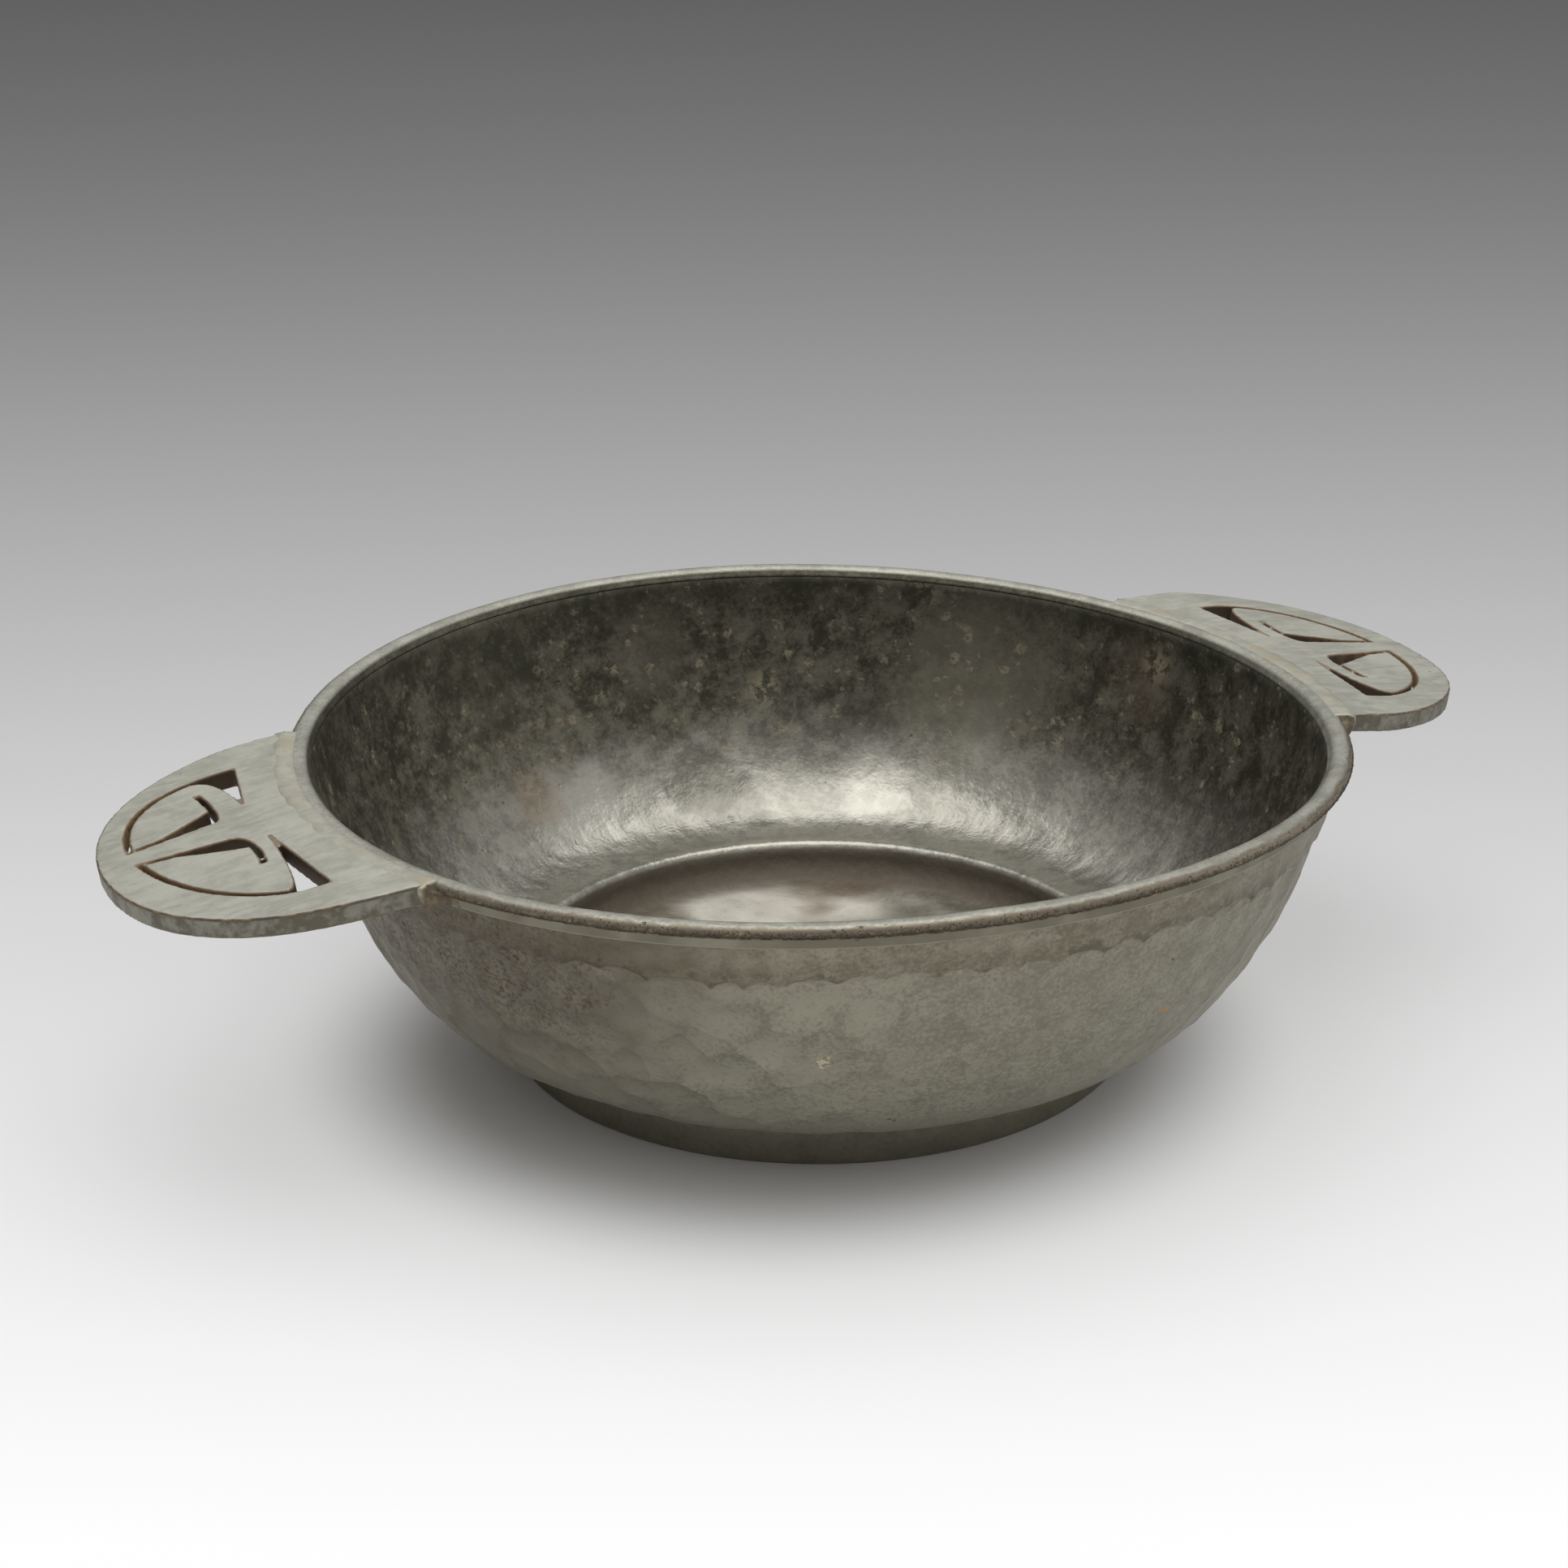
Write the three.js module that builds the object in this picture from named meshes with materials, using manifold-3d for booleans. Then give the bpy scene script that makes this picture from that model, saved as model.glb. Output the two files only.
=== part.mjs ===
// Two-handled bowl of beaten pewter: a raised sheet with a wired rim, a foot ring
// and two pierced plate handles.
// Millimetres, +Z up, origin on the table under the middle of the bowl, handles along X.

import * as THREE from 'three';
import { mergeVertices } from 'three/addons/utils/BufferGeometryUtils.js';
import Module from 'manifold-3d';

const { clamp, degToRad } = THREE.MathUtils;

// Bowl sheet
const WALL = 1.5; // thickness of the sheet at the rim and in the well
const BASE_WALL = 2.5; // thickness of the sheet over the foot, where it was beaten least
const WALL_LEAN = degToRad(11); // lean of the wall from upright, just under the rim
const WALL_RUN = 12.7; // how far the wall holds that lean before it turns in
const BASE_SLOPE = degToRad(1); // rise of the underside where it leaves the foot
const BASE_RUN = 12.8; // how far the underside holds that rise before it turns up
const FLOOR_LIFT = 2.4; // table to the underside of the sunk well
const WELL_GAP = 0.8; // between the well's outside and the foot ring
const WELL_CORNER = 2; // outside radius of the well's bottom corner
const WELL_LIP = 0.4; // outside radius where the well meets the foot's seat

// Rim
const RIM_RADIUS = 57.5; // outside of the rim wire
const RIM_HEIGHT = 36; // table to the top of the rim wire, averaged round the mouth
const RIM_DIP = 0.8; // how far the beaten rim sinks at the handles and rises between them
const BEAD_WIDTH = 2.85; // half-round wire
const BEAD_HEIGHT = 1.25;
const SEAM_HEIGHT = 0.2; // solder between the wire and the strip under it
const SEAM_WIDTH = 0.75;
const BAND_HEIGHT = 1.1;
const BAND_THICKNESS = 0.4;

// Foot
const FOOT_RADIUS = 35;
const FOOT_HEIGHT = 4.9;
const FOOT_THICKNESS = 1.5;
const FOOT_EDGE = 0.3; // worn lower edges
const FOOT_FILLET = 0.5; // solder inside the foot

// Handles
const HANDLE_LENGTH = 21.1; // outside of the rim wire to a handle's tip
const HANDLE_WIDTH = 47;
const HANDLE_THICKNESS = 2.1;
const LEFT_DROOP = degToRad(8.7); // slope of a plate down to its tip
const RIGHT_DROOP = degToRad(7);
const RIGHT_TWIST = degToRad(1.7); // the right plate was soldered with its +Y side high
const HANDLE_ROUNDNESS = 0.6; // fullness of the plate's rounded corners, where a circle has 0.55
const SHOULDER_INSET = 3; // inside of the rim radius, where the plate's sides start to round off
const HINGE_INSET = 1.2; // inside of the rim radius, where the tilted plate is level with the rim
const FLARE = 1.6; // spread of the plate at its root
const FLARE_LENGTH = 4;
const HANDLE_SEAM = 0.4; // solder seam between the plate and the rim wire
const SEAM_OVERRUN = 1.3; // solder showing past each corner of the plate
const SEAM_DROP = 0.5; // solder hanging below the rim strip
const SEAM_SINK = 0.4; // solder lying below the top of the rim

// Leaf cuts in a handle, one on each side of a stem
const ROOT_MARGIN = 4.8; // metal between the rim and the leaves
const TIP_MARGIN = 3.5; // metal outside the cut at the tip
const SIDE_MARGIN = 6.5; // metal outside the cut at the sides
const KERF = 0.5; // width of the sawn line
const STEM_ROOT = 2.6; // half width of the stem at its root
const STEM_TIP = 1.6; // half width of the stem at its tip
const CORNER_RUN = 1.8; // open corner behind the leaf
const TAIL_END = 4.9; // stem axis to the inner end of the tail cut
const LEAF_CORNER = degToRad(78); // bearing of the leaf's outer corner from the stem
const LEAF_BAND = 2; // metal between the tail cut and the hook cut
const HOOK_REACH = 10.5; // stem axis to the outer end of the hook cut
const WEDGE_ROOT = 3.5; // from the leaves' root to the blunt end of the wedge beside the stem
const WEDGE_MARGIN = 3.9; // from the wedge's thin end to the end of the leaf
const WEDGE_WIDTH = 2.9;
const LEFT_STEM_SHIFT = -2.4; // the left stem was sawn off the middle of its plate

// Clearances and fineness
const FIT = 0.05; // between pieces that seat on each other
const TURN_STEPS = 64;
const WALL_STEPS = 11;
const BEAD_STEPS = 8;
const CORNER_STEPS = 3;
const OUTLINE_STEPS = 14;
const LEAF_STEPS = 12;
const HOOK_STEPS = 8;

// Radii and heights that follow from the sizes above
const beadFoot = RIM_HEIGHT - BEAD_HEIGHT;
const bandTop = beadFoot - SEAM_HEIGHT - 2 * FIT;
const sheetInside = RIM_RADIUS - BEAD_WIDTH;
const sheetOutside = sheetInside + WALL;
const sheetTop = beadFoot - FIT;
const footInside = FOOT_RADIUS - FOOT_THICKNESS;
const seatHeight = FOOT_HEIGHT + FIT;
const lipHeight = seatHeight - WELL_LIP;
const wellOutside = footInside - WELL_GAP;
const seatRadius = RIM_RADIUS + HANDLE_SEAM;
const hingeRadius = RIM_RADIUS - HINGE_INSET;
const hingeHeight = RIM_HEIGHT - RIM_DIP;
const halfWidth = HANDLE_WIDTH / 2;
const leafRoot = RIM_RADIUS + ROOT_MARGIN;

const wasm = await Module();
wasm.setup();

const point = (x, y) => new THREE.Vector2(x, y);

function arc(centreX, centreY, radiusX, radiusY, from, to, steps) {
  return new THREE.EllipseCurve(centreX, centreY, radiusX, radiusY, from, to, to < from).getPoints(steps);
}

function bend(start, first, second, end, steps) {
  return new THREE.CubicBezierCurve(start, first, second, end).getPoints(steps);
}

// Turns a profile of (radius, height) points about Z.
function turned(profile) {
  return new THREE.LatheGeometry(profile, TURN_STEPS).rotateX(Math.PI / 2);
}

// Turns a ring whose section is a closed run of points, given anticlockwise.
function ring(section) {
  return turned([...section, section[0]]);
}

// The beaten bowl is not quite true: its rim sinks towards the handles and rises between them.
function beaten(geometry) {
  const place = geometry.attributes.position;
  for (let i = 0; i < place.count; i += 1) {
    const bearing = Math.atan2(place.getY(i), place.getX(i));
    const height = place.getZ(i);
    const share = (height / RIM_HEIGHT) ** 2;
    place.setZ(i, height - RIM_DIP * share * Math.cos(2 * bearing));
  }
  return geometry;
}

function toSolid(geometry) {
  const bare = geometry.clone();
  bare.deleteAttribute('normal');
  bare.deleteAttribute('uv');
  const merged = mergeVertices(bare);
  return new wasm.Manifold(
    new wasm.Mesh({
      numProp: 3,
      vertProperties: new Float32Array(merged.attributes.position.array),
      triVerts: new Uint32Array(merged.index.array),
    }),
  );
}

function toGeometry(solid) {
  const { vertProperties, triVerts } = solid.getMesh();
  const geometry = new THREE.BufferGeometry();
  geometry.setAttribute('position', new THREE.BufferAttribute(vertProperties, 3));
  geometry.setIndex(new THREE.BufferAttribute(triVerts, 1));
  geometry.computeVertexNormals();
  return geometry;
}

// The sheet's outer line: under the sunk well, along the foot's flat seat and up the wall to the rim.
function sheetLine() {
  const lipRadius = wellOutside + WELL_LIP;
  const corner = Math.min(WELL_CORNER, lipHeight - FLOOR_LIFT);
  const wallFoot = point(FOOT_RADIUS, seatHeight);
  const wallTop = point(sheetOutside, sheetTop);
  const lowerPull = point(
    wallFoot.x + BASE_RUN * Math.cos(BASE_SLOPE),
    wallFoot.y + BASE_RUN * Math.sin(BASE_SLOPE),
  );
  const upperPull = point(
    wallTop.x - WALL_RUN * Math.sin(WALL_LEAN),
    wallTop.y - WALL_RUN * Math.cos(WALL_LEAN),
  );
  return [
    point(0, FLOOR_LIFT),
    ...arc(wellOutside - corner, FLOOR_LIFT + corner, corner, corner, -Math.PI / 2, 0, CORNER_STEPS),
    ...arc(lipRadius, lipHeight, WELL_LIP, WELL_LIP, Math.PI, Math.PI / 2, CORNER_STEPS),
    ...bend(wallFoot, lowerPull, upperPull, wallTop, WALL_STEPS),
  ];
}

// The sheet is thickest over the foot and thins towards the rim and down into the well.
function sheetThickness(height) {
  const thinEnd = height > seatHeight ? sheetTop : lipHeight;
  const share = clamp((height - thinEnd) / (seatHeight - thinEnd), 0, 1);
  return WALL + (BASE_WALL - WALL) * share ** 2;
}

// The sheet's inner line, to the left of the outer one.
function innerLine(line) {
  return line.map((here, i) => {
    const distance = sheetThickness(here.y);
    const before = line[Math.max(i - 1, 0)];
    const after = line[Math.min(i + 1, line.length - 1)];
    const along = after.clone().sub(before).normalize();
    return point(Math.max(here.x - along.y * distance, 0), here.y + along.x * distance);
  });
}

function bowlShell() {
  const outside = sheetLine();
  const inside = innerLine(outside);
  inside[inside.length - 1].set(sheetInside, sheetTop);
  return beaten(turned([...outside, ...inside.reverse()]));
}

function rimBead() {
  const middle = RIM_RADIUS - BEAD_WIDTH / 2;
  return beaten(ring(arc(middle, beadFoot, BEAD_WIDTH / 2, BEAD_HEIGHT, 0, Math.PI, BEAD_STEPS)));
}

// A flat strip lying against the leaning wall.
function rimBand() {
  const lean = Math.tan(WALL_LEAN);
  const top = sheetOutside + FIT - (sheetTop - bandTop) * lean;
  const foot = top - BAND_HEIGHT * lean;
  return beaten(
    ring([
      point(foot, bandTop - BAND_HEIGHT),
      point(foot + BAND_THICKNESS, bandTop - BAND_HEIGHT),
      point(top + BAND_THICKNESS, bandTop),
      point(top, bandTop),
    ]),
  );
}

function rimSolder() {
  const inside = sheetOutside + FIT;
  return beaten(
    ring([
      point(inside, bandTop + FIT),
      point(inside + SEAM_WIDTH, bandTop + FIT),
      point(inside + SEAM_WIDTH, beadFoot - FIT),
      point(inside, beadFoot - FIT),
    ]),
  );
}

function footRing() {
  return ring([
    point(footInside + FOOT_EDGE, 0),
    point(FOOT_RADIUS - FOOT_EDGE, 0),
    point(FOOT_RADIUS, FOOT_EDGE),
    point(FOOT_RADIUS, FOOT_HEIGHT),
    point(footInside, FOOT_HEIGHT),
    point(footInside, FOOT_EDGE),
  ]);
}

function footSolder() {
  const outside = footInside - FIT;
  const top = FOOT_HEIGHT - FIT;
  return ring([
    point(outside, top),
    point(outside - FOOT_FILLET, top - FOOT_FILLET),
    point(outside, top - 2 * FOOT_FILLET),
  ]);
}

// One sawn cut round a leaf, as a hole in the plate: along the outside of the leaf to the open corner
// behind it, in along the tail, back round the leaf to the stem, and down the wedge into the hook.
// Where the stem stands off the middle, the squeezed leaf is fuller and the roomy one leaner.
function leafCut(side, stemShift, tip) {
  const long = tip - TIP_MARGIN - leafRoot;
  const evenReach = halfWidth - SIDE_MARGIN;
  const wide = evenReach - side * stemShift;
  const room = wide / evenReach;
  const hookRoot = leafRoot + LEAF_BAND / room ** 2;
  const wedgeRoot = leafRoot + WEDGE_ROOT;
  const wedgeTip = point(leafRoot + long - WEDGE_MARGIN, (STEM_ROOT + STEM_TIP) / 2 + KERF);
  const wedgeSide = STEM_ROOT + WEDGE_WIDTH;
  const hookMiddle = (wedgeSide + HOOK_REACH) / 2;
  const bearingAt = (reach, widest) => Math.asin((reach / widest) ** (1 / room));
  const round = (inset, from, to) =>
    arc(0, 0, 1, 1, from, to, LEAF_STEPS).map((spot) =>
      point(leafRoot + (long - inset) * spot.x ** room, (wide - inset) * spot.y ** room),
    );
  const outerEdge = round(0, bearingAt(STEM_TIP, wide), Math.PI / 2);
  const leafEdge = round(KERF, LEAF_CORNER, bearingAt(STEM_TIP + KERF, wide - KERF));
  const hookEdge = bend(
    point(hookRoot + KERF, HOOK_REACH),
    point(hookRoot, hookMiddle),
    point(hookRoot, STEM_ROOT + KERF),
    point(wedgeRoot, STEM_ROOT),
    HOOK_STEPS,
  );
  const hookBack = hookEdge
    .filter((spot) => spot.y > wedgeSide)
    .map((spot) => point(spot.x + KERF, spot.y))
    .reverse();
  const outline = [
    ...outerEdge,
    point(leafRoot - CORNER_RUN, wide),
    ...bend(
      point(leafRoot, TAIL_END),
      point(leafRoot + KERF / 4, wide / 2),
      point(leafRoot + KERF, wide - 2 * KERF),
      leafEdge[0],
      HOOK_STEPS,
    ).slice(0, -1),
    ...leafEdge,
    ...bend(
      wedgeTip,
      point((wedgeRoot + wedgeTip.x) / 2, STEM_ROOT + WEDGE_WIDTH / 2),
      point(wedgeRoot + 2 * KERF, wedgeSide - KERF),
      hookBack[0],
      HOOK_STEPS,
    ).slice(0, -1),
    ...hookBack,
    ...hookEdge,
  ];
  return new THREE.Path(outline.map((spot) => point(spot.x, stemShift + side * spot.y)));
}

// The plate seen from above, with its root run in under the rim so that the rim can trim it.
function plateShape(stemShift, tip) {
  const shoulder = RIM_RADIUS - SHOULDER_INSET;
  const flareRoot = shoulder - FLARE_LENGTH;
  const pull = shoulder + HANDLE_ROUNDNESS * (tip - shoulder);
  const upperSide = [
    ...bend(
      point(tip, 0),
      point(tip, HANDLE_ROUNDNESS * halfWidth),
      point(pull, halfWidth),
      point(shoulder, halfWidth),
      OUTLINE_STEPS,
    ),
    point(shoulder - FLARE_LENGTH / 2, halfWidth + FLARE / 4),
    point(flareRoot, halfWidth + FLARE),
  ];
  const lowerSide = upperSide.slice(1).map((spot) => point(spot.x, -spot.y));
  const shape = new THREE.Shape([...upperSide, ...lowerSide.reverse()]);
  shape.holes.push(leafCut(1, stemShift, tip), leafCut(-1, stemShift, tip));
  return shape;
}

// A drooping plate on the +X side, trimmed to the round of the rim with room for the solder seam.
function handlePlate(stemShift, droop, twist) {
  const tip = hingeRadius + (HINGE_INSET + HANDLE_LENGTH) / Math.cos(droop);
  const sheet = { depth: HANDLE_THICKNESS, bevelEnabled: false };
  const plate = new THREE.ExtrudeGeometry(plateShape(stemShift, tip), sheet)
    .translate(-hingeRadius, 0, -HANDLE_THICKNESS)
    .rotateX(twist)
    .rotateY(droop)
    .translate(hingeRadius, 0, hingeHeight);
  const trimmer = turned([
    point(0, 0),
    point(seatRadius, 0),
    point(seatRadius, 2 * RIM_HEIGHT),
    point(0, 2 * RIM_HEIGHT),
  ]);
  return toGeometry(toSolid(plate).subtract(toSolid(trimmer)));
}

// Solder along the root of the +X plate: beside the rim wire and in the hollow under it,
// standing a little past the plate's corners.
function handleSolder() {
  const besideWire = RIM_RADIUS + FIT;
  const underWire = sheetOutside + SEAM_WIDTH + 2 * FIT;
  const outside = seatRadius - FIT;
  const top = RIM_HEIGHT - SEAM_SINK;
  const step = beadFoot - FIT;
  const foot = bandTop - BAND_HEIGHT - SEAM_DROP;
  const seam = beaten(
    ring([
      point(underWire, foot),
      point(outside, foot),
      point(outside, top),
      point(besideWire, top),
      point(besideWire, step),
      point(underWire, step),
    ]),
  );
  const halfSpan = Math.asin((halfWidth + SEAM_OVERRUN) / seatRadius);
  const far = 2 * seatRadius;
  const wedge = new THREE.Shape([
    point(0, 0),
    point(far, -far * Math.tan(halfSpan)),
    point(far, far * Math.tan(halfSpan)),
  ]);
  const slice = new THREE.ExtrudeGeometry(wedge, { depth: 2 * RIM_HEIGHT, bevelEnabled: false });
  return toGeometry(toSolid(seam).intersect(toSolid(slice)));
}

function finish(color, roughness) {
  return new THREE.MeshStandardMaterial({ color, roughness, metalness: 0.85 });
}

function piece(name, geometry, material) {
  const mesh = new THREE.Mesh(geometry, material);
  mesh.name = name;
  return mesh;
}

// A plate and its solder, turned together to their side of the bowl.
function handle(name, bearing, plate) {
  const group = new THREE.Group();
  group.rotation.z = bearing;
  group.add(piece(name, plate, finish(0x8d9085, 0.5)));
  group.add(piece(`${name}_solder`, handleSolder(), finish(0x8a7a52, 0.65)));
  return group;
}

const bowl = new THREE.Group();
bowl.name = 'two_handled_bowl';
bowl.add(piece('bowl_shell', bowlShell(), finish(0x6b6a60, 0.5)));
bowl.add(piece('rim_bead', rimBead(), finish(0x8f9188, 0.45)));
bowl.add(piece('rim_band', rimBand(), finish(0x777a74, 0.45)));
bowl.add(piece('rim_solder', rimSolder(), finish(0x5d5038, 0.75)));
bowl.add(piece('foot_ring', footRing(), finish(0x4c4a3c, 0.55)));
bowl.add(piece('foot_solder', footSolder(), finish(0x6f6650, 0.7)));
bowl.add(handle('right_handle', 0, handlePlate(0, RIGHT_DROOP, RIGHT_TWIST)));
bowl.add(handle('left_handle', Math.PI, handlePlate(LEFT_STEM_SHIFT, LEFT_DROOP, 0)));

export default bowl;
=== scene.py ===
"""Two-handled bowl of beaten pewter: fine surfaces, aged finishes and a studio, over the packed frame."""

import math
from types import SimpleNamespace

import bmesh
import bpy
from bpy.props import FloatProperty, FloatVectorProperty, IntProperty, PointerProperty
from mathutils import Matrix, Quaternion, Vector, kdtree, noise


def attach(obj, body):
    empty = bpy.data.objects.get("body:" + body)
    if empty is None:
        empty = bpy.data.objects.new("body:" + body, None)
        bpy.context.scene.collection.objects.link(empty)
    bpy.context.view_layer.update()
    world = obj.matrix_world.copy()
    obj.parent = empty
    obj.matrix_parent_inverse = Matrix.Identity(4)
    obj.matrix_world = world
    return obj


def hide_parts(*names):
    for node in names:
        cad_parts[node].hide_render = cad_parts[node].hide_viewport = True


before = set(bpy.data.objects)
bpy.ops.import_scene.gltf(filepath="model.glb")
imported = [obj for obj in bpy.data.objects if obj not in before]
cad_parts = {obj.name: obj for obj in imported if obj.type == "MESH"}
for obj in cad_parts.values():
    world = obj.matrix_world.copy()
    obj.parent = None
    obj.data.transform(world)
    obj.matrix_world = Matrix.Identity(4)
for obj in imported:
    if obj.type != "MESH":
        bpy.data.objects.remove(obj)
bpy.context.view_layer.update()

bl_info = {
    "name": "Two-handled pewter bowl",
    "version": (1, 0, 0),
    "blender": (4, 5, 0),
    "location": "View3D > Sidebar > Bowl",
    "description": "Builds a beaten pewter bowl with pierced handles and a studio round it",
    "category": "Add Mesh",
}

MM = 0.001
TURN = 2 * math.pi


# Properties


def length(name, description, millimetres):
    """A size, given in millimetres and kept in metres."""
    return FloatProperty(
        name=name, description=description, default=millimetres * MM, unit="LENGTH", precision=5
    )


def angle(name, description, degrees):
    """An angle, given in degrees and kept in radians."""
    return FloatProperty(
        name=name, description=description, default=math.radians(degrees), subtype="ANGLE"
    )


def number(name, description, value, unit="NONE"):
    """A plain number."""
    return FloatProperty(name=name, description=description, default=value, unit=unit)


def point(name, description, place):
    """A point, in metres."""
    return FloatVectorProperty(
        name=name, description=description, default=place, subtype="TRANSLATION", precision=5
    )


def colour(name, description, red, green, blue):
    """A linear colour."""
    return FloatVectorProperty(
        name=name,
        description=description,
        default=(red, green, blue, 1.0),
        size=4,
        min=0.0,
        max=1.0,
        subtype="COLOR",
    )


class BowlSizes(bpy.types.PropertyGroup):
    """Sizes of the bowl, which follow the frame's solids."""

    wall: length("Sheet", "Thickness of the beaten sheet at the rim and in the well", 1.5)
    base_wall: length("Base sheet", "Thickness of the sheet over the foot", 2.5)
    wall_lean: angle("Wall lean", "Lean of the wall under the rim", 11)
    wall_run: length("Wall run", "How far the wall holds its lean", 12.7)
    base_slope: angle("Base slope", "Rise of the underside where it leaves the foot", 1)
    base_run: length("Base run", "How far the underside holds its rise", 12.8)
    floor_lift: length("Floor lift", "Table to the underside of the well", 2.4)
    well_gap: length("Well gap", "Between the well and the foot ring", 0.8)
    well_corner: length("Well corner", "Outside radius of the well's bottom corner", 2)
    well_lip: length("Well lip", "Outside radius of the well's upper edge", 0.4)
    rim_radius: length("Rim radius", "Outside of the rim wire", 57.5)
    rim_height: length("Rim height", "Table to the top of the rim wire", 36)
    rim_dip: length("Rim dip", "How far the rim sinks at the handles", 0.8)
    bead_width: length("Wire width", "Width of the half-round rim wire", 2.85)
    bead_height: length("Wire height", "Height of the half-round rim wire", 1.25)
    seam_height: length("Rim seam height", "Solder between the wire and the strip", 0.2)
    seam_width: length("Rim seam width", "Depth of that solder", 0.75)
    band_height: length("Strip height", "Height of the strip under the wire", 1.1)
    band_thickness: length("Strip thickness", "Thickness of the strip", 0.4)
    foot_radius: length("Foot radius", "Outside of the foot ring", 35)
    foot_height: length("Foot height", "Height of the foot ring", 4.9)
    foot_thickness: length("Foot thickness", "Thickness of the foot ring", 1.5)
    foot_edge: length("Foot edge", "Wear on the foot's lower edges", 0.3)
    foot_fillet: length("Foot fillet", "Solder inside the foot", 0.5)
    plate_thickness: length("Plate thickness", "Thickness of a handle plate", 2.1)
    plate_half_width: length("Plate half width", "Stem to the side of a handle plate", 23.5)
    left_droop: angle("Left droop", "Slope of the left plate", 8.7)
    right_droop: angle("Right droop", "Slope of the right plate", 7)
    right_twist: angle("Right twist", "Twist of the right plate", 1.7)
    hinge_inset: length("Hinge inset", "Rim to where a plate is level with it", 1.2)
    plate_gap: length("Plate gap", "Rim wire to a plate's root", 0.4)
    root_bend: length("Root bend", "How far out a plate is bent to meet the rim", 8)
    fit: length("Fit", "Between pieces that seat on each other", 0.05)
    mark_size: length("Hammer mark", "Width of one planishing mark", 3.8)
    mark_depth: length("Mark depth", "Depth of a planishing mark", 0.22)
    ridge_height: length("Ridge height", "Table to the edge where the hammer marks start", 29.6)
    scallop: length("Scallop", "Width of one hammer mark along that edge", 4.6)
    grain_size: length("Crust grain", "Size of a grain of dirt under the wire", 0.085)
    voxel: length("Plate fineness", "Size of the plates' surface cells", 0.2)
    turn_steps: IntProperty(name="Turn steps", description="Facets round the bowl", default=440)


class BowlColours(bpy.types.PropertyGroup):
    """Colours of the aged metal, linear."""

    outside_pale: colour("Outside pale", "Worn metal outside", 0.302, 0.285, 0.222)
    outside_deep: colour("Outside deep", "Dull metal outside", 0.19, 0.178, 0.134)
    outside_brown: colour("Outside brown", "Tarnish under the strip", 0.145, 0.126, 0.084)
    inside_pale: colour("Inside pale", "Rubbed metal inside", 0.42, 0.405, 0.355)
    # Dark oxide inside, also painted shade in one patch on the far wall and on the rim wire's far inner
    # face
    deep_oxide_and_shade: colour("Inside deep", "Dark oxide inside", 0.06, 0.057, 0.038)
    # Thinner oxide inside, also painted shade on the rim wire's far inner face
    thin_oxide_and_shade: colour("Inside mid", "Thinner oxide inside", 0.225, 0.213, 0.16)
    oxide: colour("Oxide", "Beige oxide spots", 0.33, 0.28, 0.19)
    # Worn floor of the well, also painted highlight on that floor and on the far wall
    pale_wear_and_highlight: colour("Well pale", "Worn floor of the well", 0.85, 0.82, 0.72)
    stain: colour("Stain", "Brown stains inside", 0.25, 0.183, 0.13)
    pit: colour("Pit", "Dirt in small pits", 0.035, 0.032, 0.024)
    dust: colour("Dust", "Pale specks of dust", 0.62, 0.6, 0.52)
    flake: colour("Flake", "One pale flake outside", 0.6, 0.56, 0.4)
    rust: colour("Rust", "One rust spot outside", 0.4, 0.2, 0.06)
    wire_pale: colour("Wire pale", "Worn top of the rim wire", 0.42, 0.413, 0.355)
    wire_deep: colour("Wire deep", "Duller top of the rim wire", 0.285, 0.276, 0.228)
    wire_brown: colour("Wire brown", "Outer side of the rim wire", 0.2, 0.163, 0.115)
    # Dirt under the wire, also the painted shade at the left outside and on the well's wall
    dark_dirt_and_shade: colour("Crust dark", "Dirt under the wire", 0.08, 0.062, 0.04)
    crust_tan: colour("Crust tan", "Tan grains in the dirt", 0.3, 0.22, 0.13)
    strip_pale: colour("Strip pale", "Edges of the strip", 0.28, 0.26, 0.205)
    strip_deep: colour("Strip deep", "Face of the strip", 0.15, 0.138, 0.1)
    foot_pale: colour("Foot pale", "Worn edge of the foot", 0.26, 0.245, 0.2)
    foot_deep: colour("Foot deep", "Dark face of the foot", 0.125, 0.116, 0.078)
    plate_pale: colour("Plate pale", "Worn top of the plates", 0.49, 0.486, 0.42)
    plate_deep: colour("Plate deep", "Duller top of the plates", 0.365, 0.36, 0.303)
    plate_side: colour("Plate side", "Sides of the plates", 0.12, 0.109, 0.08)
    rub: colour("Rub", "Brown rubbed edges", 0.22, 0.125, 0.055)
    slot_dark: colour("Slot dark", "Dirt in the sawn cuts", 0.07, 0.047, 0.028)
    slot_tan: colour("Slot tan", "Tan walls of the sawn cuts", 0.27, 0.175, 0.085)
    # Solder along the rim, also the painted highlight along the well's lip
    solder_pale_and_highlight: colour("Solder pale", "Solder along the rim", 0.47, 0.455, 0.375)
    solder_ochre: colour("Solder ochre", "Stained solder", 0.36, 0.29, 0.16)


class BowlStudio(bpy.types.PropertyGroup):
    """Floor, light and camera."""

    lens: number("Lens", "Focal length in millimetres", 67.08, "CAMERA")
    camera_place: point("Camera", "Place of the camera", (-0.1323, -0.2684, 0.1437))
    camera_aim: point("Aim", "Point that the camera looks at", (-0.00337, 0.00166, 0.02824))
    camera_roll: angle("Roll", "Roll of the camera", -0.406)
    sky: number("Sky", "Level of the light from above", 0.75)
    horizon: number("Horizon", "Level of the light from the sides", 0.07)
    floor_glow: number("Floor glow", "Share of the floor's own light", 0.6)
    top_light: number("Top light", "Watts of the softbox overhead", 3.6, "POWER")
    back_light: number("Back light", "Watts of the softbox behind", 0.6, "POWER")
    side_light: number("Side light", "Watts of the softbox at the right", 1.8, "POWER")


def sizes():
    """The scene's own bowl sizes."""
    return bpy.context.scene.bowl_sizes


def colours():
    """The scene's own bowl colours."""
    return bpy.context.scene.bowl_colours


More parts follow.
